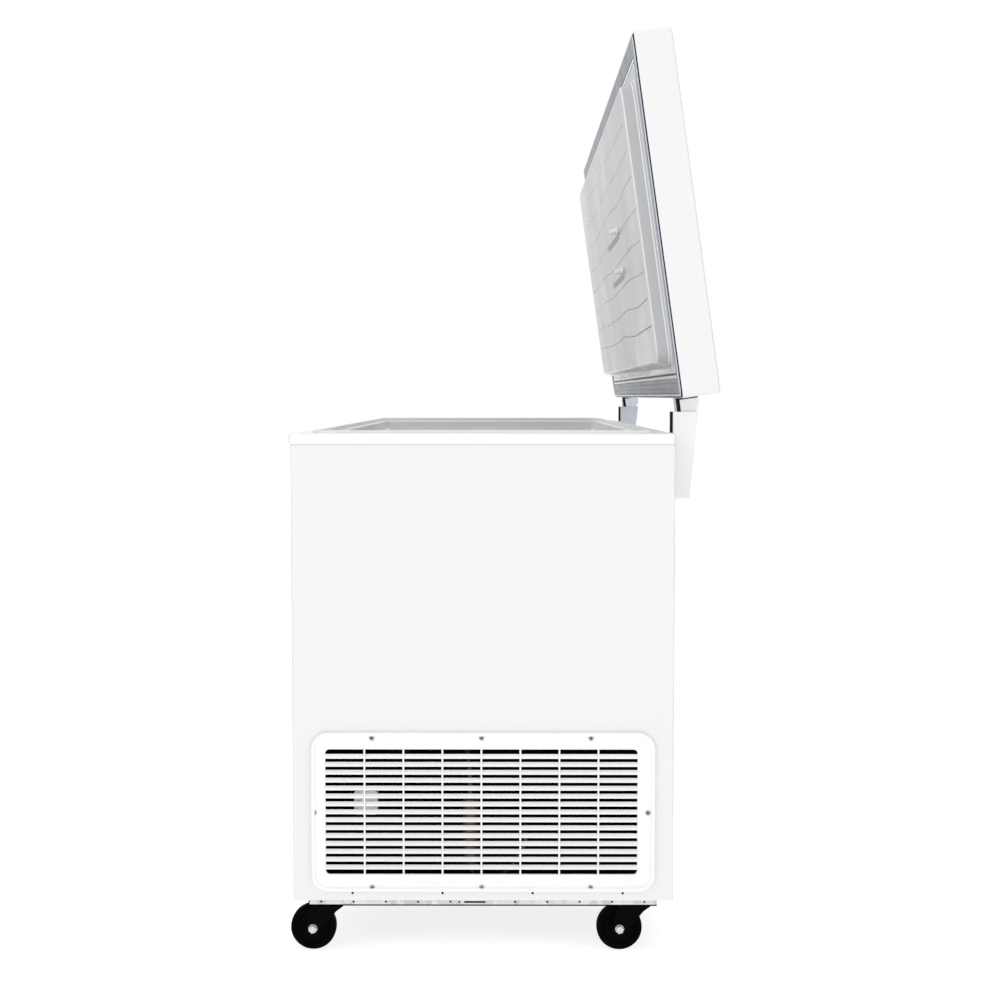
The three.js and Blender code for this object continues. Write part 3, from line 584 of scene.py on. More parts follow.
def cavity_tub():
    """The stepped storage space: five walls, two floors and the riser, all with rounded corners."""
    low, high = span("cavity_liner")
    skin = 1.2
    x0, x1, y0, y1 = low.x + skin, high.x - skin, low.y + skin, high.y - skin
    floor, step, shelf, top = low.z + skin, 388.0, 402.0, high.z
    section = [(x0, top), (x0, floor), (step, floor), (step, shelf), (x1, shelf), (x1, top)]
    mesh = bmesh.new()
    front = [mesh.verts.new((x, y0, z)) for x, z in section]
    back = [mesh.verts.new((x, y1, z)) for x, z in section]
    mesh.faces.new(front)
    mesh.faces.new(back[::-1])
    for i in range(len(section) - 1):
        mesh.faces.new((front[i], back[i], back[i + 1], front[i + 1]))
    tub = piece("cavity_tub", mesh, "cabinet", "liner_grey", ["cavity_liner"], edge=14, steps=5)
    thick = tub.modifiers.new("sheet", "SOLIDIFY")
    thick.thickness = skin * 0.001
    thick.offset = 1


def base_rail(name, end):
    """A galvanised channel under each end; its outer flange has a row of holes and one slot."""
    low, high = span(name)
    near, far = (high.x, low.x) if end > 0 else (low.x, high.x)
    sheet = 2.0
    y0, y1 = low.y, high.y
    first, pitch, height, radius = -244.8, 48.84, 88.2, 1.7
    holes = [circle(first + pitch * k, height, radius, 12) for k in range(11) if k != 5]
    holes.append(rounded_rectangle(-29, 4, 86.4, 89.2, 1.3, 4))
    holes.append(circle(-36, height, 1.5, 12))
    mesh = bmesh.new()
    flange = [(y0, low.z), (y1, low.z), (y1, high.z), (y0, high.z)]
    plate(mesh, flange, near - end * sheet, near, SIDE, holes)
    plate(mesh, flange, far, far + end * sheet, SIDE)
    plate(mesh, [(near, y0), (far, y0), (far, y1), (near, y1)], low.z, low.z + sheet)
    piece(name + "_channel", mesh, "cabinet", "galvanised_steel", [name])


RECESS_FLOOR = 0.9


def screw_head():
    """A pan head with a cross recess, drawn about the origin and facing +X."""
    mesh = bmesh.new()
    dome = [(3.9, 0), (3.9, 0.7), (3.6, 1.3), (2.9, 1.9), (1.8, 2.3), (0.01, 2.4)]
    lathe(mesh, dome, (0, 0, 0), "x", 28)
    head = bpy.data.meshes.new("screw_head")
    bmesh.ops.remove_doubles(mesh, verts=mesh.verts, dist=0.02)
    bmesh.ops.recalc_face_normals(mesh, faces=mesh.faces)
    mesh.to_mesh(head)
    mesh.free()
    cutter = bmesh.new()
    arm, half = 2.6, 0.6
    cross = [(-half, -arm), (half, -arm), (half, -half), (arm, -half), (arm, half), (half, half)]
    cross += [(half, arm), (-half, arm), (-half, half), (-arm, half), (-arm, -half), (-half, -half)]
    plate(cutter, cross, RECESS_FLOOR, 3.0, SIDE)
    bmesh.ops.recalc_face_normals(cutter, faces=cutter.faces)
    recess = bpy.data.meshes.new("cross_recess")
    cutter.to_mesh(recess)
    cutter.free()
    return carved(head, recess)


def carved(base, tool):
    """The base mesh with the tool mesh cut away."""
    first = bpy.data.objects.new("carved_base", base)
    second = bpy.data.objects.new("carving_tool", tool)
    for each in (first, second):
        bpy.context.scene.collection.objects.link(each)
    cut = first.modifiers.new("carve", "BOOLEAN")
    cut.operation = "DIFFERENCE"
    cut.solver = "EXACT"
    cut.object = second
    ready = first.evaluated_get(bpy.context.evaluated_depsgraph_get())
    made = bpy.data.meshes.new_from_object(ready)
    for each in (first, second):
        bpy.data.objects.remove(each)
    return made


def louvre_grille():
    """A moulded frame with a raised bead, sloping slats, upright ribs and eight screws."""
    low, high = span("louvre_grille")
    outer = (low.y, high.y, low.z, high.z)
    back, rise, bead = low.x, 2.5, 6.7
    face = high.x - rise
    window = (-237.0, 232.0, 132.0, 322.0)
    steps = 8
    crown = [
        (bead / 2 - bead / 2 * math.cos(math.radians(a)), face + rise * math.sin(math.radians(a)))
        for a in range(0, 181, 20)
    ]
    loops = framed_loops([(0.0, back), *crown], outer, 26, steps)
    loops += framed_loops([(-0.8, face), (0.0, face - 0.8), (0.0, back)], window, 6, steps)
    mesh = bmesh.new()
    hoop(mesh, loops, SIDE, closed=True)
    slats, pitch = 15, 12.05
    middle = (window[2] + window[3]) / 2
    for k in range(slats):
        z = middle + (k - (slats - 1) / 2) * pitch
        section = [(back + 0.5, z + 1.5), (back + 4.6, z - 3.7), (back + 4.6, z - 1.3), (back + 0.5, z + 3.7)]
        outline = softened(section, [0.3, 0.7, 0.9, 0.3], 3)
        plate(mesh, outline, window[0] - 1, window[1] + 1, FRONT)
    ribs, gap = 7, 58.6
    centre = (window[0] + window[1]) / 2
    for k in range(ribs):
        y = centre + (k - (ribs - 1) / 2) * gap
        section = [(back, y - 1.5), (back + 4.9, y - 1.2), (back + 4.9, y + 1.2), (back, y + 1.5)]
        plate(mesh, softened(section, 0.4, 2), window[2] - 1, window[3] + 1)
    piece("grille_moulding", mesh, "cabinet", "trim_white", ["louvre_grille"])
    head = screw_head()
    places = [(y, z) for z in (339.5, 112.0) for y in (-167.0, -2.0, 162.0)]
    places += [(-254.0, 226.0), (248.0, 226.0)]
    # The cross recesses are painted black as the shade inside them.
    dark = [FINISH["black_plastic"]]
    for k, (y, z) in enumerate(places):
        mesh = bmesh.new()
        mesh.from_mesh(head)
        for patch in mesh.faces:
            middle = patch.calc_center_median()
            patch.material_index = int(middle.x < RECESS_FLOOR + 0.5 and math.hypot(*middle.yz) < 2.9)
        turned = Matrix.Rotation(random.uniform(0, 1.5), 4, "X")
        mesh.transform(Matrix.Translation((face, y, z)) @ turned)
        piece(f"grille_screw_{k + 1}", mesh, "cabinet", "zinc_steel", material=SCREW_STEEL, more=dark)


random.seed(7)
side_panel("side_panel_right", 1, True)
side_panel("side_panel_left", -1, False)
top_rim()
breaker_collar()
cavity_tub()
for end, sign in ENDS:
    base_rail(f"base_rail_{end}", sign)
louvre_grille()
for node in ("front_panel", "back_panel"):
    dress(node, "body_white", 0.3)
dress("bottom_panel", "galvanised_steel", 0.3)
# The bay's tray and divider are painted near black as shade.
for node in ("machine_bay_tray", "machine_bay_divider"):
    dress(node, "galvanised_steel", 0.3, PAINTED_SHADE_STEEL)
dress("insulation", "foam", 0.5)

# ---- Machine bay ---------------------------------------------------------------------------------


def compressor():
    """A welded shell with a seam, on a base plate with four rubber feet."""
    low = span("compressor")[0]
    x, y = 640.0, 125.0
    mesh = bmesh.new()
    profile = [(50, 114), (66, 116), (75, 124), (78, 138), (78, 196), (78.6, 197), (78.6, 203), (78, 204)]
    profile += [(78, 240), (75, 258), (68, 274), (54, 286), (30, 291), (0.01, 292)]
    lathe(mesh, profile, (x, y, 0), "z", 64)
    plate(mesh, rounded_rectangle(x - 95, x + 95, y - 60, y + 60, 12), 107, 110)
    foot = [(9, low.z), (9, low.z + 4), (6.5, low.z + 6), (9, low.z + 8), (9, 106.5), (4, 106.5), (4, 113)]
    for dx in (-80, 80):
        for dy in (-46, 46):
            lathe(mesh, foot, (x + dx, y + dy, 0), "z", 24)
    plate(mesh, rounded_rectangle(x - 30, x + 34, low.y, low.y + 48, 6), 170, 236)
    piece("compressor_shell", mesh, "cabinet", "black_steel", ["compressor"], edge=0.8)


def condenser():
    """Fins between two end plates, with one tube that runs to and fro through them."""
    low, high = span("condenser")
    mesh = bmesh.new()
    count = 44
    for k in range(count):
        y = low.y + 4 + (high.y - low.y - 8) * k / (count - 1)
        block(mesh, (low.x + 1, high.x - 1), (y - 0.25, y + 0.25), (low.z + 3, high.z - 3))
    for y in (low.y, high.y - 2):
        block(mesh, (low.x, high.x), (y, y + 2), (low.z, high.z))
    rows = 9
    path = []
    for k in range(rows):
        z = low.z + 18 + (high.z - low.z - 36) * k / (rows - 1)
        ends = (low.y + 6, high.y - 6) if k % 2 == 0 else (high.y - 6, low.y + 6)
        path += [(low.x + 20, ends[0], z), (low.x + 20, ends[1], z)]
    sweep(mesh, bent(path, 10), 4.2, 12)
    piece("condenser_fins", mesh, "cabinet", "black_steel", ["condenser"])


def fan():
    """A hub with five twisted, cambered blades."""
    low, high = span("fan_blade")
    centre = (low + high) / 2
    mesh = bmesh.new()
    rod(mesh, 22, (low.x + 0.5, high.x - 0.5), (0, centre.y, centre.z), "x", 3)
    root, reach = 19, (high.z - low.z) / 2 - 2
    blades, steps = 5, 6
    root_pitch, untwist, root_chord, bulge, hollow, depth = 38, 14, 17, 5, 2.2, 9
    for k in range(blades):
        turn = Matrix.Translation(centre) @ Matrix.Rotation(2 * math.pi * k / blades, 4, "X")
        rings = []
        for j in range(steps + 1):
            radius = root + (reach - root) * j / steps
            pitch = math.radians(root_pitch - untwist * j / steps)
            chord = root_chord + bulge * math.sin(math.pi * j / steps)
            row = []
            for i in range(steps + 1):
                u = (i / steps - 0.5) * 2 * chord
                camber = hollow * (1 - (2 * i / steps - 1) ** 2)
                across = u * math.cos(pitch) - camber * math.sin(pitch)
                along = u * math.sin(pitch) + camber * math.cos(pitch)
                lift = math.sqrt(max(radius * radius - across * across, 1))
                row.append(turn @ Vector((max(-depth, min(depth, along)), across, lift)))
            rings.append(row)
        borders = []
        for offset in (0.7, -0.7):
            grid = [[mesh.verts.new(p + Vector((offset, 0, 0))) for p in row] for row in rings]
            for j in range(steps):
                for i in range(steps):
                    mesh.faces.new((grid[j][i], grid[j][i + 1], grid[j + 1][i + 1], grid[j + 1][i]))
            tip = [row[-1] for row in grid[1:]] + grid[-1][-2::-1]
            borders.append(grid[0] + tip + [row[0] for row in grid[-2:0:-1]])
        band(mesh, *borders)
    piece("fan_rotor", mesh, "fan", "black_plastic", ["fan_blade"])


def terminal_box():
    """A small white wiring box on a black strap that stands on the tray."""
    floor = span("machine_bay_tray")[1].z
    mesh = bmesh.new()
    plate(mesh, rounded_rectangle(-199, -163, 209, 246, 4), 688, 712, SIDE)
    for y in (-190, -172):
        lathe(mesh, [(0.01, 711), (3, 711), (3, 714), (0.01, 714)], (0, y, 228), "x", 16)
    piece("terminal_box", mesh, "cabinet", "trim_white", edge=0.8)
    mesh = bmesh.new()
    plate(mesh, rounded_rectangle(-188, -174, floor + 0.5, 240, 1), 685, 687.5, SIDE)
    piece("terminal_box_strap", mesh, "cabinet", "black_steel", edge=0.3)


compressor()
condenser()
fan()
terminal_box()
dress("fan_shroud", "black_steel", 0.5)
dress("fan_motor", "black_steel", 1.0)
# The refrigerant line's darkened copper is painted shade.
dress("refrigerant_line", "copper", 0.3)
dress("control_bezel", "trim_white", 0.8)
dress("thermostat_dial", "black_plastic", 0.8)
dress("cable_gland", "black_plastic", 0.6)

# ---- Lid -----------------------------------------------------------------------------------------

LID_BODY = "lid"
HALF = (right_face[1].x - left_face[0].x) * 500
LID_EDGE = (-HALF, HALF, -269.5, 273.5)
LID_BOTTOM, LID_TOP = 804.0, 860.5


def lid_loop(inset, radius, steps=8):
    x0, x1, y0, y1 = LID_EDGE
    return rounded_rectangle(x0 + inset, x1 - inset, y0 + inset, y1 - inset, max(radius - inset, 1.5), steps)


def lid_shell():
    """A pressed steel tray; its front top edge is rounder than the others."""
    x0, x1, y0, y1 = LID_EDGE
    steps, corner, skin = 8, 8.0, 1.2
    back_edge, front_extra = 3.0, 4.5
    mesh = bmesh.new()
    rings = []

    def ring(z, lean):
        """A loop at height z; lean is how far round the top edge it has come, in degrees."""
        base = rounded_rectangle(x0, x1, y0, y1, corner, steps)
        made = []
        for k, (x, y) in enumerate(base):
            quarter = k // (steps + 1)
            angle = math.radians(-90 + 90 * quarter + 90 * (k % (steps + 1)) / steps)
            out = Vector((math.cos(angle), math.sin(angle)))
            frontal = max(0.0, -out.y) ** 2
            soft = back_edge + front_extra * frontal
            inset = soft * (1 - math.cos(math.radians(lean)))
            drop = soft * (1 - math.sin(math.radians(lean)))
            level = LID_TOP - drop if z is None else z
            made.append(mesh.verts.new((x - out.x * inset, y - out.y * inset, level)))
        return made

    rings.append(ring(LID_BOTTOM + 0.3, 0))
    rings += [ring(None, lean) for lean in range(0, 91, 15)]
    hem = [(lid_loop(1.0, corner), LID_BOTTOM), (lid_loop(skin, corner), LID_BOTTOM + 0.3)]
    inner = [[mesh.verts.new((x, y, z)) for x, y in loop] for loop, z in hem]
    inner.append([mesh.verts.new((x, y, LID_TOP - skin)) for x, y in lid_loop(skin, corner)])
    chain = [inner[2], inner[1], inner[0]] + rings
    for near, far in chained(chain, False):
        band(mesh, near, far)
    mesh.faces.new(chain[0][::-1])
    mesh.faces.new(chain[-1])
    piece("lid_skin", mesh, LID_BODY, "body_white", ["lid_shell"], to=LID)


def around_lid(*sections):
    """Closed strips round the lid's underside, each section a list of (inset, z)."""
    mesh = bmesh.new()
    for section in sections:
        hoop(mesh, [(lid_loop(inset, 14), z) for inset, z in section], closed=True)
    return mesh


def lid_gasket():
    """The vinyl seal: a flat foot with two fine grooves, an outer bulb, a retainer, and black strips of
    painted shadow.
    """
    foot = [(6.4, 804.6), (6.4, 802.0), (8.0, 800.9), (14.0, 800.7), (14.5, 801.3), (15.1, 801.3)]
    foot += [(15.6, 800.7), (22.6, 800.6), (23.1, 801.3), (23.7, 801.3), (24.2, 800.7), (28.2, 800.8)]
    foot += [(29.8, 801.8), (30.0, 804.6)]
    mesh = around_lid(softened(foot, 0.5, 2))
    piece("lid_seal", mesh, LID_BODY, "gasket_grey", ["lid_gasket"], to=LID, angle=60)
    strip = [(30.5, 804.8), (30.5, 802.6), (35.3, 802.6), (35.3, 804.8)]
    piece("lid_seal_retainer", around_lid(softened(strip, 0.8, 3)), LID_BODY, "trim_white", to=LID)
    # The outer bulb is painted pale as a highlight.
    bulb = [(3.5, 802.6), (3.5, 800.6), (6.2, 800.6), (6.2, 802.6)]
    mesh = around_lid(softened(bulb, 0.9, 4))
    piece("lid_seal_bulb", mesh, LID_BODY, "gasket_grey", to=LID, material=HIGHLIGHT_VINYL, angle=60)
    # Black strips painted as the shadow in the gap inside the retainer and at the base of the outer bulb.
    inner = [(35.6, 804.9), (35.6, 804.2), (37.9, 804.2), (37.9, 804.9)]
    outer = [(2.6, 804.9), (2.6, 802.7), (6.2, 802.7), (6.2, 804.9)]
    piece("lid_seal_shadow_strips", around_lid(inner, outer), LID_BODY, "black_plastic", to=LID)


PANEL = (-702.5, 702.5, -201.5, 213.5)
PANEL_FACE = 779.5
PANEL_CORNER = 22
GROOVES = (-156.0, -112.5, -69.0, -20.0, 25.5, 71.0, 116.5, 160.0)
GROOVE_WAVES = ((2.6, 105, 40), (0.8, 61, 17))  # height, then how slowly it changes along and across the lid


def spaced(low, high, near_ends, count):
    """Positions from low to high, closer together near both ends."""
    inner = [low + d for d in near_ends]
    first, last = inner[-1], high - near_ends[-1]
    middle = [first + (last - first) * i / count for i in range(1, count)]
    return inner + middle + [last] + [high - d for d in reversed(near_ends[:-1])]


def into_corner(x, y, box, radius):
    """Pulls a point of a square corner into the rounded one, so that a grid fills the outline."""
    x0, x1, y0, y1 = box
    cx = min(max(x, x0 + radius), x1 - radius)
    cy = min(max(y, y0 + radius), y1 - radius)
    dx, dy = (x - cx) / radius, (y - cy) / radius
    if not dx or not dy:
        return x, y
    pull = max(abs(dx), abs(dy)) / math.hypot(dx, dy)
    return cx + dx * pull * radius, cy + dy * pull * radius


def lid_liner():
    """The vacuum-formed inner lid: flange, bead, lip, sloped wall, and a raised panel with wavy grooves."""
    ends = [0, 1.5, 3.5, 6, 9, 13, 18, 24]
    shape = [(-2.2, 0), (-1.4, 0.3), (-0.6, 1.3), (0.6, 1.3), (1.4, 0.3), (2.2, 0)]
    columns = spaced(PANEL[0], PANEL[1], ends, 150)
    rows = [(PANEL[2] + d, 0.0, -1) for d in ends]
    for n, y in enumerate(GROOVES):
        rows += [(y + dy, dz, n) for dy, dz in shape]
    rows += [(PANEL[3] - d, 0.0, -1) for d in reversed(ends)]
    nx, ny = len(columns), len(rows)

    def fade(x):
        reach = min(x - PANEL[0], PANEL[1] - x) - 16
        return max(0.0, min(1.0, reach / 26))

    def wave(x, y):
        inside = min(y - PANEL[2], PANEL[3] - y)
        soft = max(0.0, min(1.0, (inside - 24) / 10))
        waves = [height * math.sin(x / along + y / across) for height, along, across in GROOVE_WAVES]
        return soft * sum(waves)

    mesh = bmesh.new()
    grid = []
    for x in columns:
        line = []
        for y, dz, n in rows:
            px, py = into_corner(x, y, PANEL, PANEL_CORNER)
            py += wave(x, y) * fade(x)
            line.append(mesh.verts.new((px, py, PANEL_FACE + dz * fade(x))))
        grid.append(line)
    for i in range(nx - 1):
        for j in range(ny - 1):
            patch = mesh.faces.new((grid[i][j], grid[i + 1][j], grid[i + 1][j + 1], grid[i][j + 1]))
            # The groove floors take the painted shade grey.
            in_groove = rows[j][1] > 1 and rows[j + 1][1] > 1 and fade(columns[i]) > 0.3
            patch.material_index = 2 if in_groove else 0

    border = [(i, 0) for i in range(nx)] + [(nx - 1, j) for j in range(1, ny)]
    border += [(i, ny - 1) for i in range(nx - 2, -1, -1)] + [(0, j) for j in range(ny - 2, 0, -1)]

    def loop(box, radius, z):
        x0, x1, y0, y1 = box
        made = []
        for i, j in border:
            x = columns[i] + (x0 - PANEL[0] if columns[i] < 0 else x1 - PANEL[1])
            y = rows[j][0] + (y0 - PANEL[2] if rows[j][0] < 6 else y1 - PANEL[3])
            px, py = into_corner(x, y, box, radius)
            made.append(mesh.verts.new((px, py, z)))
        return made

    def grown(amount):
        return (PANEL[0] - amount, PANEL[1] + amount, PANEL[2] - amount, PANEL[3] + amount)

    def lid_box(inset):
        x0, x1, y0, y1 = LID_EDGE
        return (x0 + inset, x1 - inset, y0 + inset, y1 - inset)

    wall = [(0.9, 779.6), (2.0, 780.1), (2.9, 781.0), (3.5, 782.3), (4.4, 786.5), (5.4, 790.5), (6.6, 794.5)]
    wall += [(7.3, 796.4), (8.2, 798.0), (10.0, 800.3), (12.0, 801.5), (14.5, 801.8)]
    rings = [[grid[i][j] for i, j in border]]
    rings += [loop(grown(out), PANEL_CORNER + out, z) for out, z in wall]
    lip = [(41.0, 801.8), (39.6, 802.0), (38.6, 802.6), (38.1, 803.6), (38.0, 805.0)]
    lip += [(1.5, 805.0), (1.5, 807.0), (34.0, 807.0)]
    rings += [loop(lid_box(inset), 14 if inset > 20 else 8, z) for inset, z in lip]
    # These bands, the fillets and lip walls, are painted pale as highlights; the groove floors are painted
    # grey as shade.
    pale = {0, 1, 2, 8, 10, len(wall) + 1, len(wall) + 2, len(wall) + 3}
    for n, (near, far) in enumerate(chained(rings, False)):
        for patch in band(mesh, near, far):
            patch.material_index = int(n in pale)
    painted_highlight_and_shade = [HIGHLIGHT_LINER, PAINTED_SHADE_GREY]
    piece("lid_inner_panel", mesh, LID_BODY, "liner_grey", ["lid_liner"], to=LID, angle=50, more=painted_highlight_and_shade)


def lid_clips():
    """Two faceted pegs on the raised panel, each with a shallow recessed slot along the lid, painted grey as
    shade.
    """
    peg = [(6.9, 779.2), (6.9, 777.5), (5.6, 776.6), (4.9, 770.5), (4.4, 765.2), (3.2, 764.3)]
    for k in (1, 2):
        low, high = span(f"lid_clip_{k}")
        centre = LID.inverted() @ (TO_ROW @ ((low + high) / 2))
        mesh = bmesh.new()
        lathe(mesh, peg, (centre.x, centre.y, 0), "z", 8)
        clip = [f"lid_clip_{k}"]
        # The pegs' brightened white is a painted highlight.
        piece(f"lid_peg_{k}", mesh, LID_BODY, "trim_white", clip, edge=0.3, to=LID, material=LIT_WHITE_PAINT)
        mesh = bmesh.new()
        slot = rounded_rectangle(centre.x - 292, centre.x - 2, centre.y + 4, centre.y + 13, 4.4)
        rim = rounded_rectangle(centre.x - 293, centre.x - 1, centre.y + 3, centre.y + 14, 5.4)
        hoop(mesh, [(rim, PANEL_FACE - 0.05), (slot, PANEL_FACE - 0.35)], caps=True)
        # The slot's grey is painted shade.
        piece(f"lid_peg_slot_{k}", mesh, LID_BODY, "gasket_grey", to=LID, material=PAINTED_SHADE_GREY)


lid_shell()
lid_gasket()
lid_liner()
lid_clips()
dress("lid_insulation", "foam", 0.5)

# ---- Hinges --------------------------------------------------------------------------------------


def hinge_spring(end):
    """A compression spring with closed ends."""
    low, high = span(f"hinge_spring_{end}")
    wire = 1.5
    coil = (high.x - low.x) / 2 - wire
    turns, steps = 11, 18
    centre = (low + high) / 2
    free = high.z - low.z - 6 * wire
    path = []
    for k in range(turns * steps + 1):
        t = k / (turns * steps)
        rise = min(max((t - 1 / turns) / (1 - 2 / turns), 0), 1)
        lift = 2 * wire * (min(t * turns, 1) + max(t * turns - turns + 1, 0))
        angle = 2 * math.pi * k / steps
        x, y = centre.x + coil * math.cos(angle), centre.y + coil * math.sin(angle)
        path.append((x, y, low.z + wire + lift + free * rise))
    mesh = bmesh.new()
    sweep(mesh, path, wire, 10)
    spring = piece(f"hinge_coil_{end}", mesh, "cabinet", "spring_steel", [f"hinge_spring_{end}"])
    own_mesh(spring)


# The left housing takes painted shade and the right housing and bracket painted light, as darker and brighter
# copies of the white paint.
for end, sign in ENDS:
    dress(f"hinge_housing_{end}", "body_white", 0.7, SHADED_WHITE_PAINT if sign < 0 else LIT_WHITE_PAINT)
    dress(f"hinge_buffer_{end}", "black_plastic", 0.5)
    dress(f"hinge_pin_{end}", "zinc_steel", 0.6)
    dress(f"hinge_plunger_{end}", "spring_steel", 0.8)
    dress(f"lid_bracket_{end}", "zinc_steel", 0.5, LIT_WHITE_PAINT if sign > 0 else None)
    dress(f"bracket_shim_{end}", "black_plastic", 0.4)
    hinge_spring(end)

# ---- Basket --------------------------------------------------------------------------------------


def wire_basket():
    """A thick rim wire with four hanging loops, over a cage of thin wires."""
    low, high = span("wire_basket")
    thick, thin = 2.6, 1.5
    top = high.z - thick
    rim = 755 - thick
    bottom = low.z + thick
    mesh = bmesh.new()
    a, b = low.x + thick, high.x - thick
    w = 236 - thick
    rim_path = [
        (a + 30, -w, top), (b - 30, -w, top), (b - 6, -w + 4, rim), (b, -w + 18, rim),
        (b, w - 18, rim), (b - 6, w - 4, rim), (b - 30, w, top), (a + 30, w, top),
        (a + 6, w - 4, rim), (a, w - 18, rim), (a, -w + 18, rim), (a + 6, -w + 4, rim),
    ]
    sweep(mesh, bent(rim_path, 12, 5, True), thick, 12, True)
    for z in (bottom + 30, bottom + 75, bottom + 120, bottom + 165):
        loop = rounded_rectangle(a + 1, b - 1, -w + 1, w - 1, 16, 6)
        sweep(mesh, [(px, py, z) for px, py in loop], thin, 8, True)
    inset = thick + thin
    columns = 11
    for k in range(columns):
        x = a + 22 + (b - a - 44) * k / (columns - 1)
        side, foot = w - inset, bottom + thin
        path = [(x, -side, top), (x, -side, foot), (x, side, foot), (x, side, top)]
        sweep(mesh, bent(path, 12), thin, 8)
    rows = 17
    for k in range(rows):
        v = -w + 24 + (2 * w - 48) * k / (rows - 1)
        left, right, foot = a + inset, b - inset, bottom + 3 * thin
        path = [(left, v, rim), (left, v, foot), (right, v, foot), (right, v, rim)]
        sweep(mesh, bent(path, 12), thin, 8)
    for sign in (1, -1):
        reach = sign * (high.y - thick)
        for x in (low.x + 60, high.x - 60):
            ends = (x - 26, sign * w, top), (x + 26, sign * w, top)
            path = [ends[0], (x - 26, reach, top), (x + 26, reach, top), ends[1]]
            sweep(mesh, bent(path, 4), thick, 10)
    piece("basket_wires", mesh, "basket", "coated_wire", ["wire_basket"], angle=70)


wire_basket()

# ---- Casters -------------------------------------------------------------------------------------


WHEEL_RADIUS = 35.0  # the axle's height too, since the wheel stands on the floor


def caster_wheel(name):
    """A tyre with rounded shoulders round a recessed hub."""
    low, high = span(f"caster_wheel_{name}")
    centre = (low + high) / 2
    half = (high.x - low.x) / 2
    tread = half - 2
    mesh = bmesh.new()
    profile = [(4.4, -half), (10.5, -half), (11.5, -half + 0.8), (12.5, -half + 4), (24, -half + 4.5)]
    profile += [(26, -tread + 0.6), (27.5, -tread), (31.5, -tread), (33.6, -tread + 1.2)]
    profile += [(34.7, -tread + 3.4), (WHEEL_RADIUS, -2)]
    profile += [(r, -w) for r, w in reversed(profile)]
    lathe(mesh, profile, (centre.x, centre.y, WHEEL_RADIUS), "x", 72, closed=True)
    piece(f"wheel_{name}_tyre", mesh, f"wheel_{name}", "tread_black", [f"caster_wheel_{name}"], angle=42)


def caster_fork(name):
    """Two pressed legs under a domed crown, with a raised boss round the axle."""
    low, high = span(f"caster_fork_{name}")
    wheel_low, wheel_high = span(f"caster_wheel_{name}")
    axle_y = (wheel_low.y + wheel_high.y) / 2
    stem_y = axle_y + 25
    x = (low.x + high.x) / 2
    half, sheet, crown = (high.x - low.x) / 2, 3.0, high.z
    boss = arc((axle_y, WHEEL_RADIUS), 12, 190, 330, 14)
    leg = boss + [(stem_y + 11, 62), (stem_y + 22, 70), (stem_y + 22, crown - 2)]
    leg += [(stem_y - 22, crown - 2), (stem_y - 32, 62)]
    radii = [0] * len(boss) + [4, 3, 2, 2, 6]
    outline = softened(leg, radii, 4)
    mesh = bmesh.new()
    for sign in (1, -1):
        outer = x + sign * half
        plate(mesh, outline, outer, outer - sign * sheet, SIDE, [circle(axle_y, WHEEL_RADIUS, 4.3, 20)])
    top = rounded_rectangle(x - half, x + half, stem_y - 23, stem_y + 23, 9)
    plate(mesh, top, crown - 4, crown, PLAN, [circle(x, stem_y, 5.3, 20)])
    piece(f"fork_{name}", mesh, f"caster_{name}", "black_steel", [f"caster_fork_{name}"], edge=0.7)


def caster_plate(name):
    """A mounting plate with four holes, over the swivel's race, stem and nut."""
    low, high = span(f"caster_plate_{name}")
    centre = (low + high) / 2
    mesh = bmesh.new()
    holes = [circle(centre.x + sx * 29, centre.y + sy * 21, 3.6, 16) for sx in (-1, 1) for sy in (-1, 1)]
    plate(mesh, rounded_rectangle(low.x, high.x, low.y, high.y, 8), high.z - 3, high.z, PLAN, holes)
    race = [(8, 76.4), (16.4, 76.4), (17, 77.0), (17, 79.6), (8, 79.6)]
    stem = [(0.01, low.z), (4, low.z), (5, low.z + 0.8), (5, 79)]
    nut = [(6, low.z), (8, low.z + 0.4), (8, low.z + 2), (5, low.z + 2.3)]
    for profile, steps in ((race, 40), (stem, 24), (nut, 6)):
        lathe(mesh, profile, (centre.x, centre.y, 0), "z", steps)
    piece(f"top_plate_{name}", mesh, "cabinet", "black_steel", [f"caster_plate_{name}"], edge=0.5)


def caster_axle(name, sign):
    """A hex bolt with a domed, chamfered head outboard, and its nut inboard."""
    low, high = span(f"caster_axle_{name}")
    axis = (0, (low.y + high.y) / 2, WHEEL_RADIUS)
    wheel_low, wheel_high = span(f"caster_wheel_{name}")
    middle = (wheel_low.x + wheel_high.x) / 2
    seat = 17.3
    head = [(6.6, 0), (6.6, 5.2), (5.9, 6.2), (3.6, 6.2), (3.1, 5.4), (0.01, 5.4)]
    nut = [(6.6, 0), (6.6, 4.6), (5.9, 5.4), (4.6, 5.4), (4.2, 3.0), (0.01, 3.0)]
    washer = [(6.9, 0), (6.9, 0.8), (6, 1.0)]
    mesh = bmesh.new()
    for profile, facing, steps, start in ((head, sign, 6, 0.3), (nut, -sign, 6, 0.3), (washer, sign, 32, 0)):
        placed = [(r, middle + facing * (seat + along)) for r, along in profile]
        lathe(mesh, placed, axis, "x", steps, start)
    rod(mesh, 3.9, (middle - 19, middle + 19), axis, "x", 0.4, 20)
    piece(f"axle_bolt_{name}", mesh, f"caster_{name}", "zinc_steel", [f"caster_axle_{name}"], edge=0.3)


for end, sign in ENDS:
    for name in (f"front_{end}", f"back_{end}"):
        caster_wheel(name)
        caster_fork(name)
        caster_plate(name)
        caster_axle(name, sign)

# ---- Studio --------------------------------------------------------------------------------------


def staged(name, mesh, material):
    """A studio object: it stands round the freezer and is no part of it."""
    data = bpy.data.meshes.new(name)
    mesh.to_mesh(data)
    mesh.free()
    data.materials.append(material)
    made = bpy.data.objects.new(name, data)
    bpy.context.scene.collection.objects.link(made)
    return made


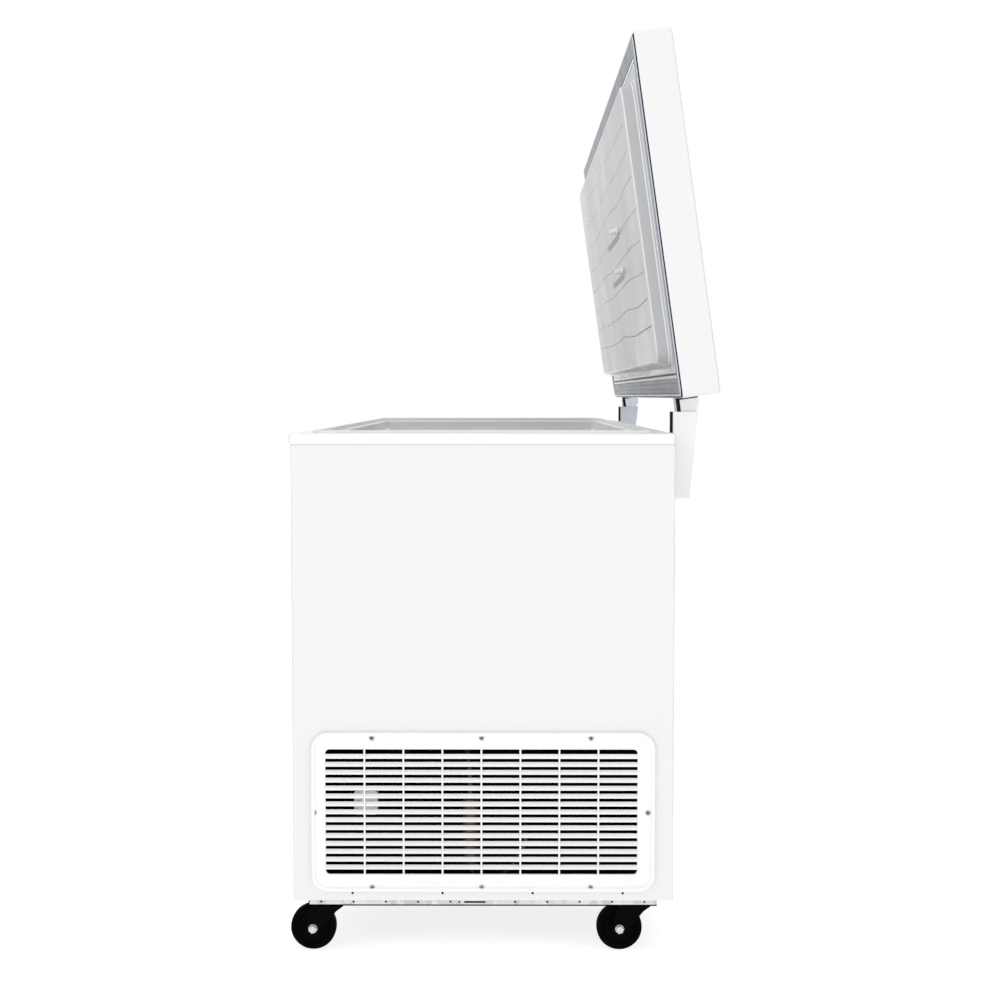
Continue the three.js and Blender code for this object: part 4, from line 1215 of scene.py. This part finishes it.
def studio():
    """A pale glowing floor, three softboxes, and two dark cards that give the white edges thin outlines."""
    scene = bpy.context.scene
    scene.view_settings.view_transform = "Standard"
    scene.view_settings.look = "None"

    mesh = bmesh.new()
    bmesh.ops.create_circle(mesh, cap_ends=True, radius=60, segments=96)
    pale = finish(
        "pale_studio_floor", (0.45, 0.45, 0.45), 0.9, (noise(1.5, 2), 0.995),
        Emission_Color=(1, 1, 1, 1), Emission_Strength=0.78,
    )
    floor = staged("studio_floor", mesh, pale)

    world = bpy.data.worlds.new("studio_world")
    world.use_nodes = True
    background = world.node_tree.nodes["Background"]
    background.inputs["Color"].default_value = (1, 1, 1, 1)
    background.inputs["Strength"].default_value = 1.0
    scene.world = world

    for name, place, size, power in (
        ("key_softbox", (3.2, -3.0, 3.2), 2.4, 18),
        ("fill_softbox", (2.5, 3.4, 2.6), 2.4, 10),
        ("top_softbox", (0.0, 0.0, 4.2), 3.0, 12),
    ):
        lamp = bpy.data.lights.new(name, "AREA")
        lamp.shape = "SQUARE"
        lamp.size = size
        lamp.energy = power
        light = bpy.data.objects.new(name, lamp)
        light.location = place
        aim = Vector((0, 0, 0.6)) - Vector(place)
        light.rotation_euler = aim.to_track_quat("-Z", "Y").to_euler()
        scene.collection.objects.link(light)

    dark = finish("black_studio_card", (0.01, 0.01, 0.011), 0.9, (noise(20, 2), 0.8))
    sheet = softened([(0.15, 0.1), (1.0, 0.1), (1.0, 1.75), (0.15, 1.75)], 0.03)
    for name, side in (("dark_card_front", -1), ("dark_card_back", 1)):
        mesh = bmesh.new()
        plate(mesh, sheet, side * 1.1, side * 1.11, FRONT)
        card = staged(name, mesh, dark)
        card.visible_camera = False

    lens = bpy.data.cameras.new("photo_camera")
    lens.lens = 61.58
    lens.sensor_width = 36
    lens.clip_end = 200
    camera = bpy.data.objects.new("photo_camera", lens)
    camera.location = (3.30565, 0.003875, 0.8521)
    pitch, turn = math.radians(3.491), math.radians(-0.232)
    level = math.cos(pitch)
    aim = Vector((-level * math.cos(turn), level * math.sin(turn), -math.sin(pitch)))
    camera.rotation_euler = aim.to_track_quat("-Z", "Y").to_euler()
    scene.collection.objects.link(camera)
    scene.camera = camera


studio()
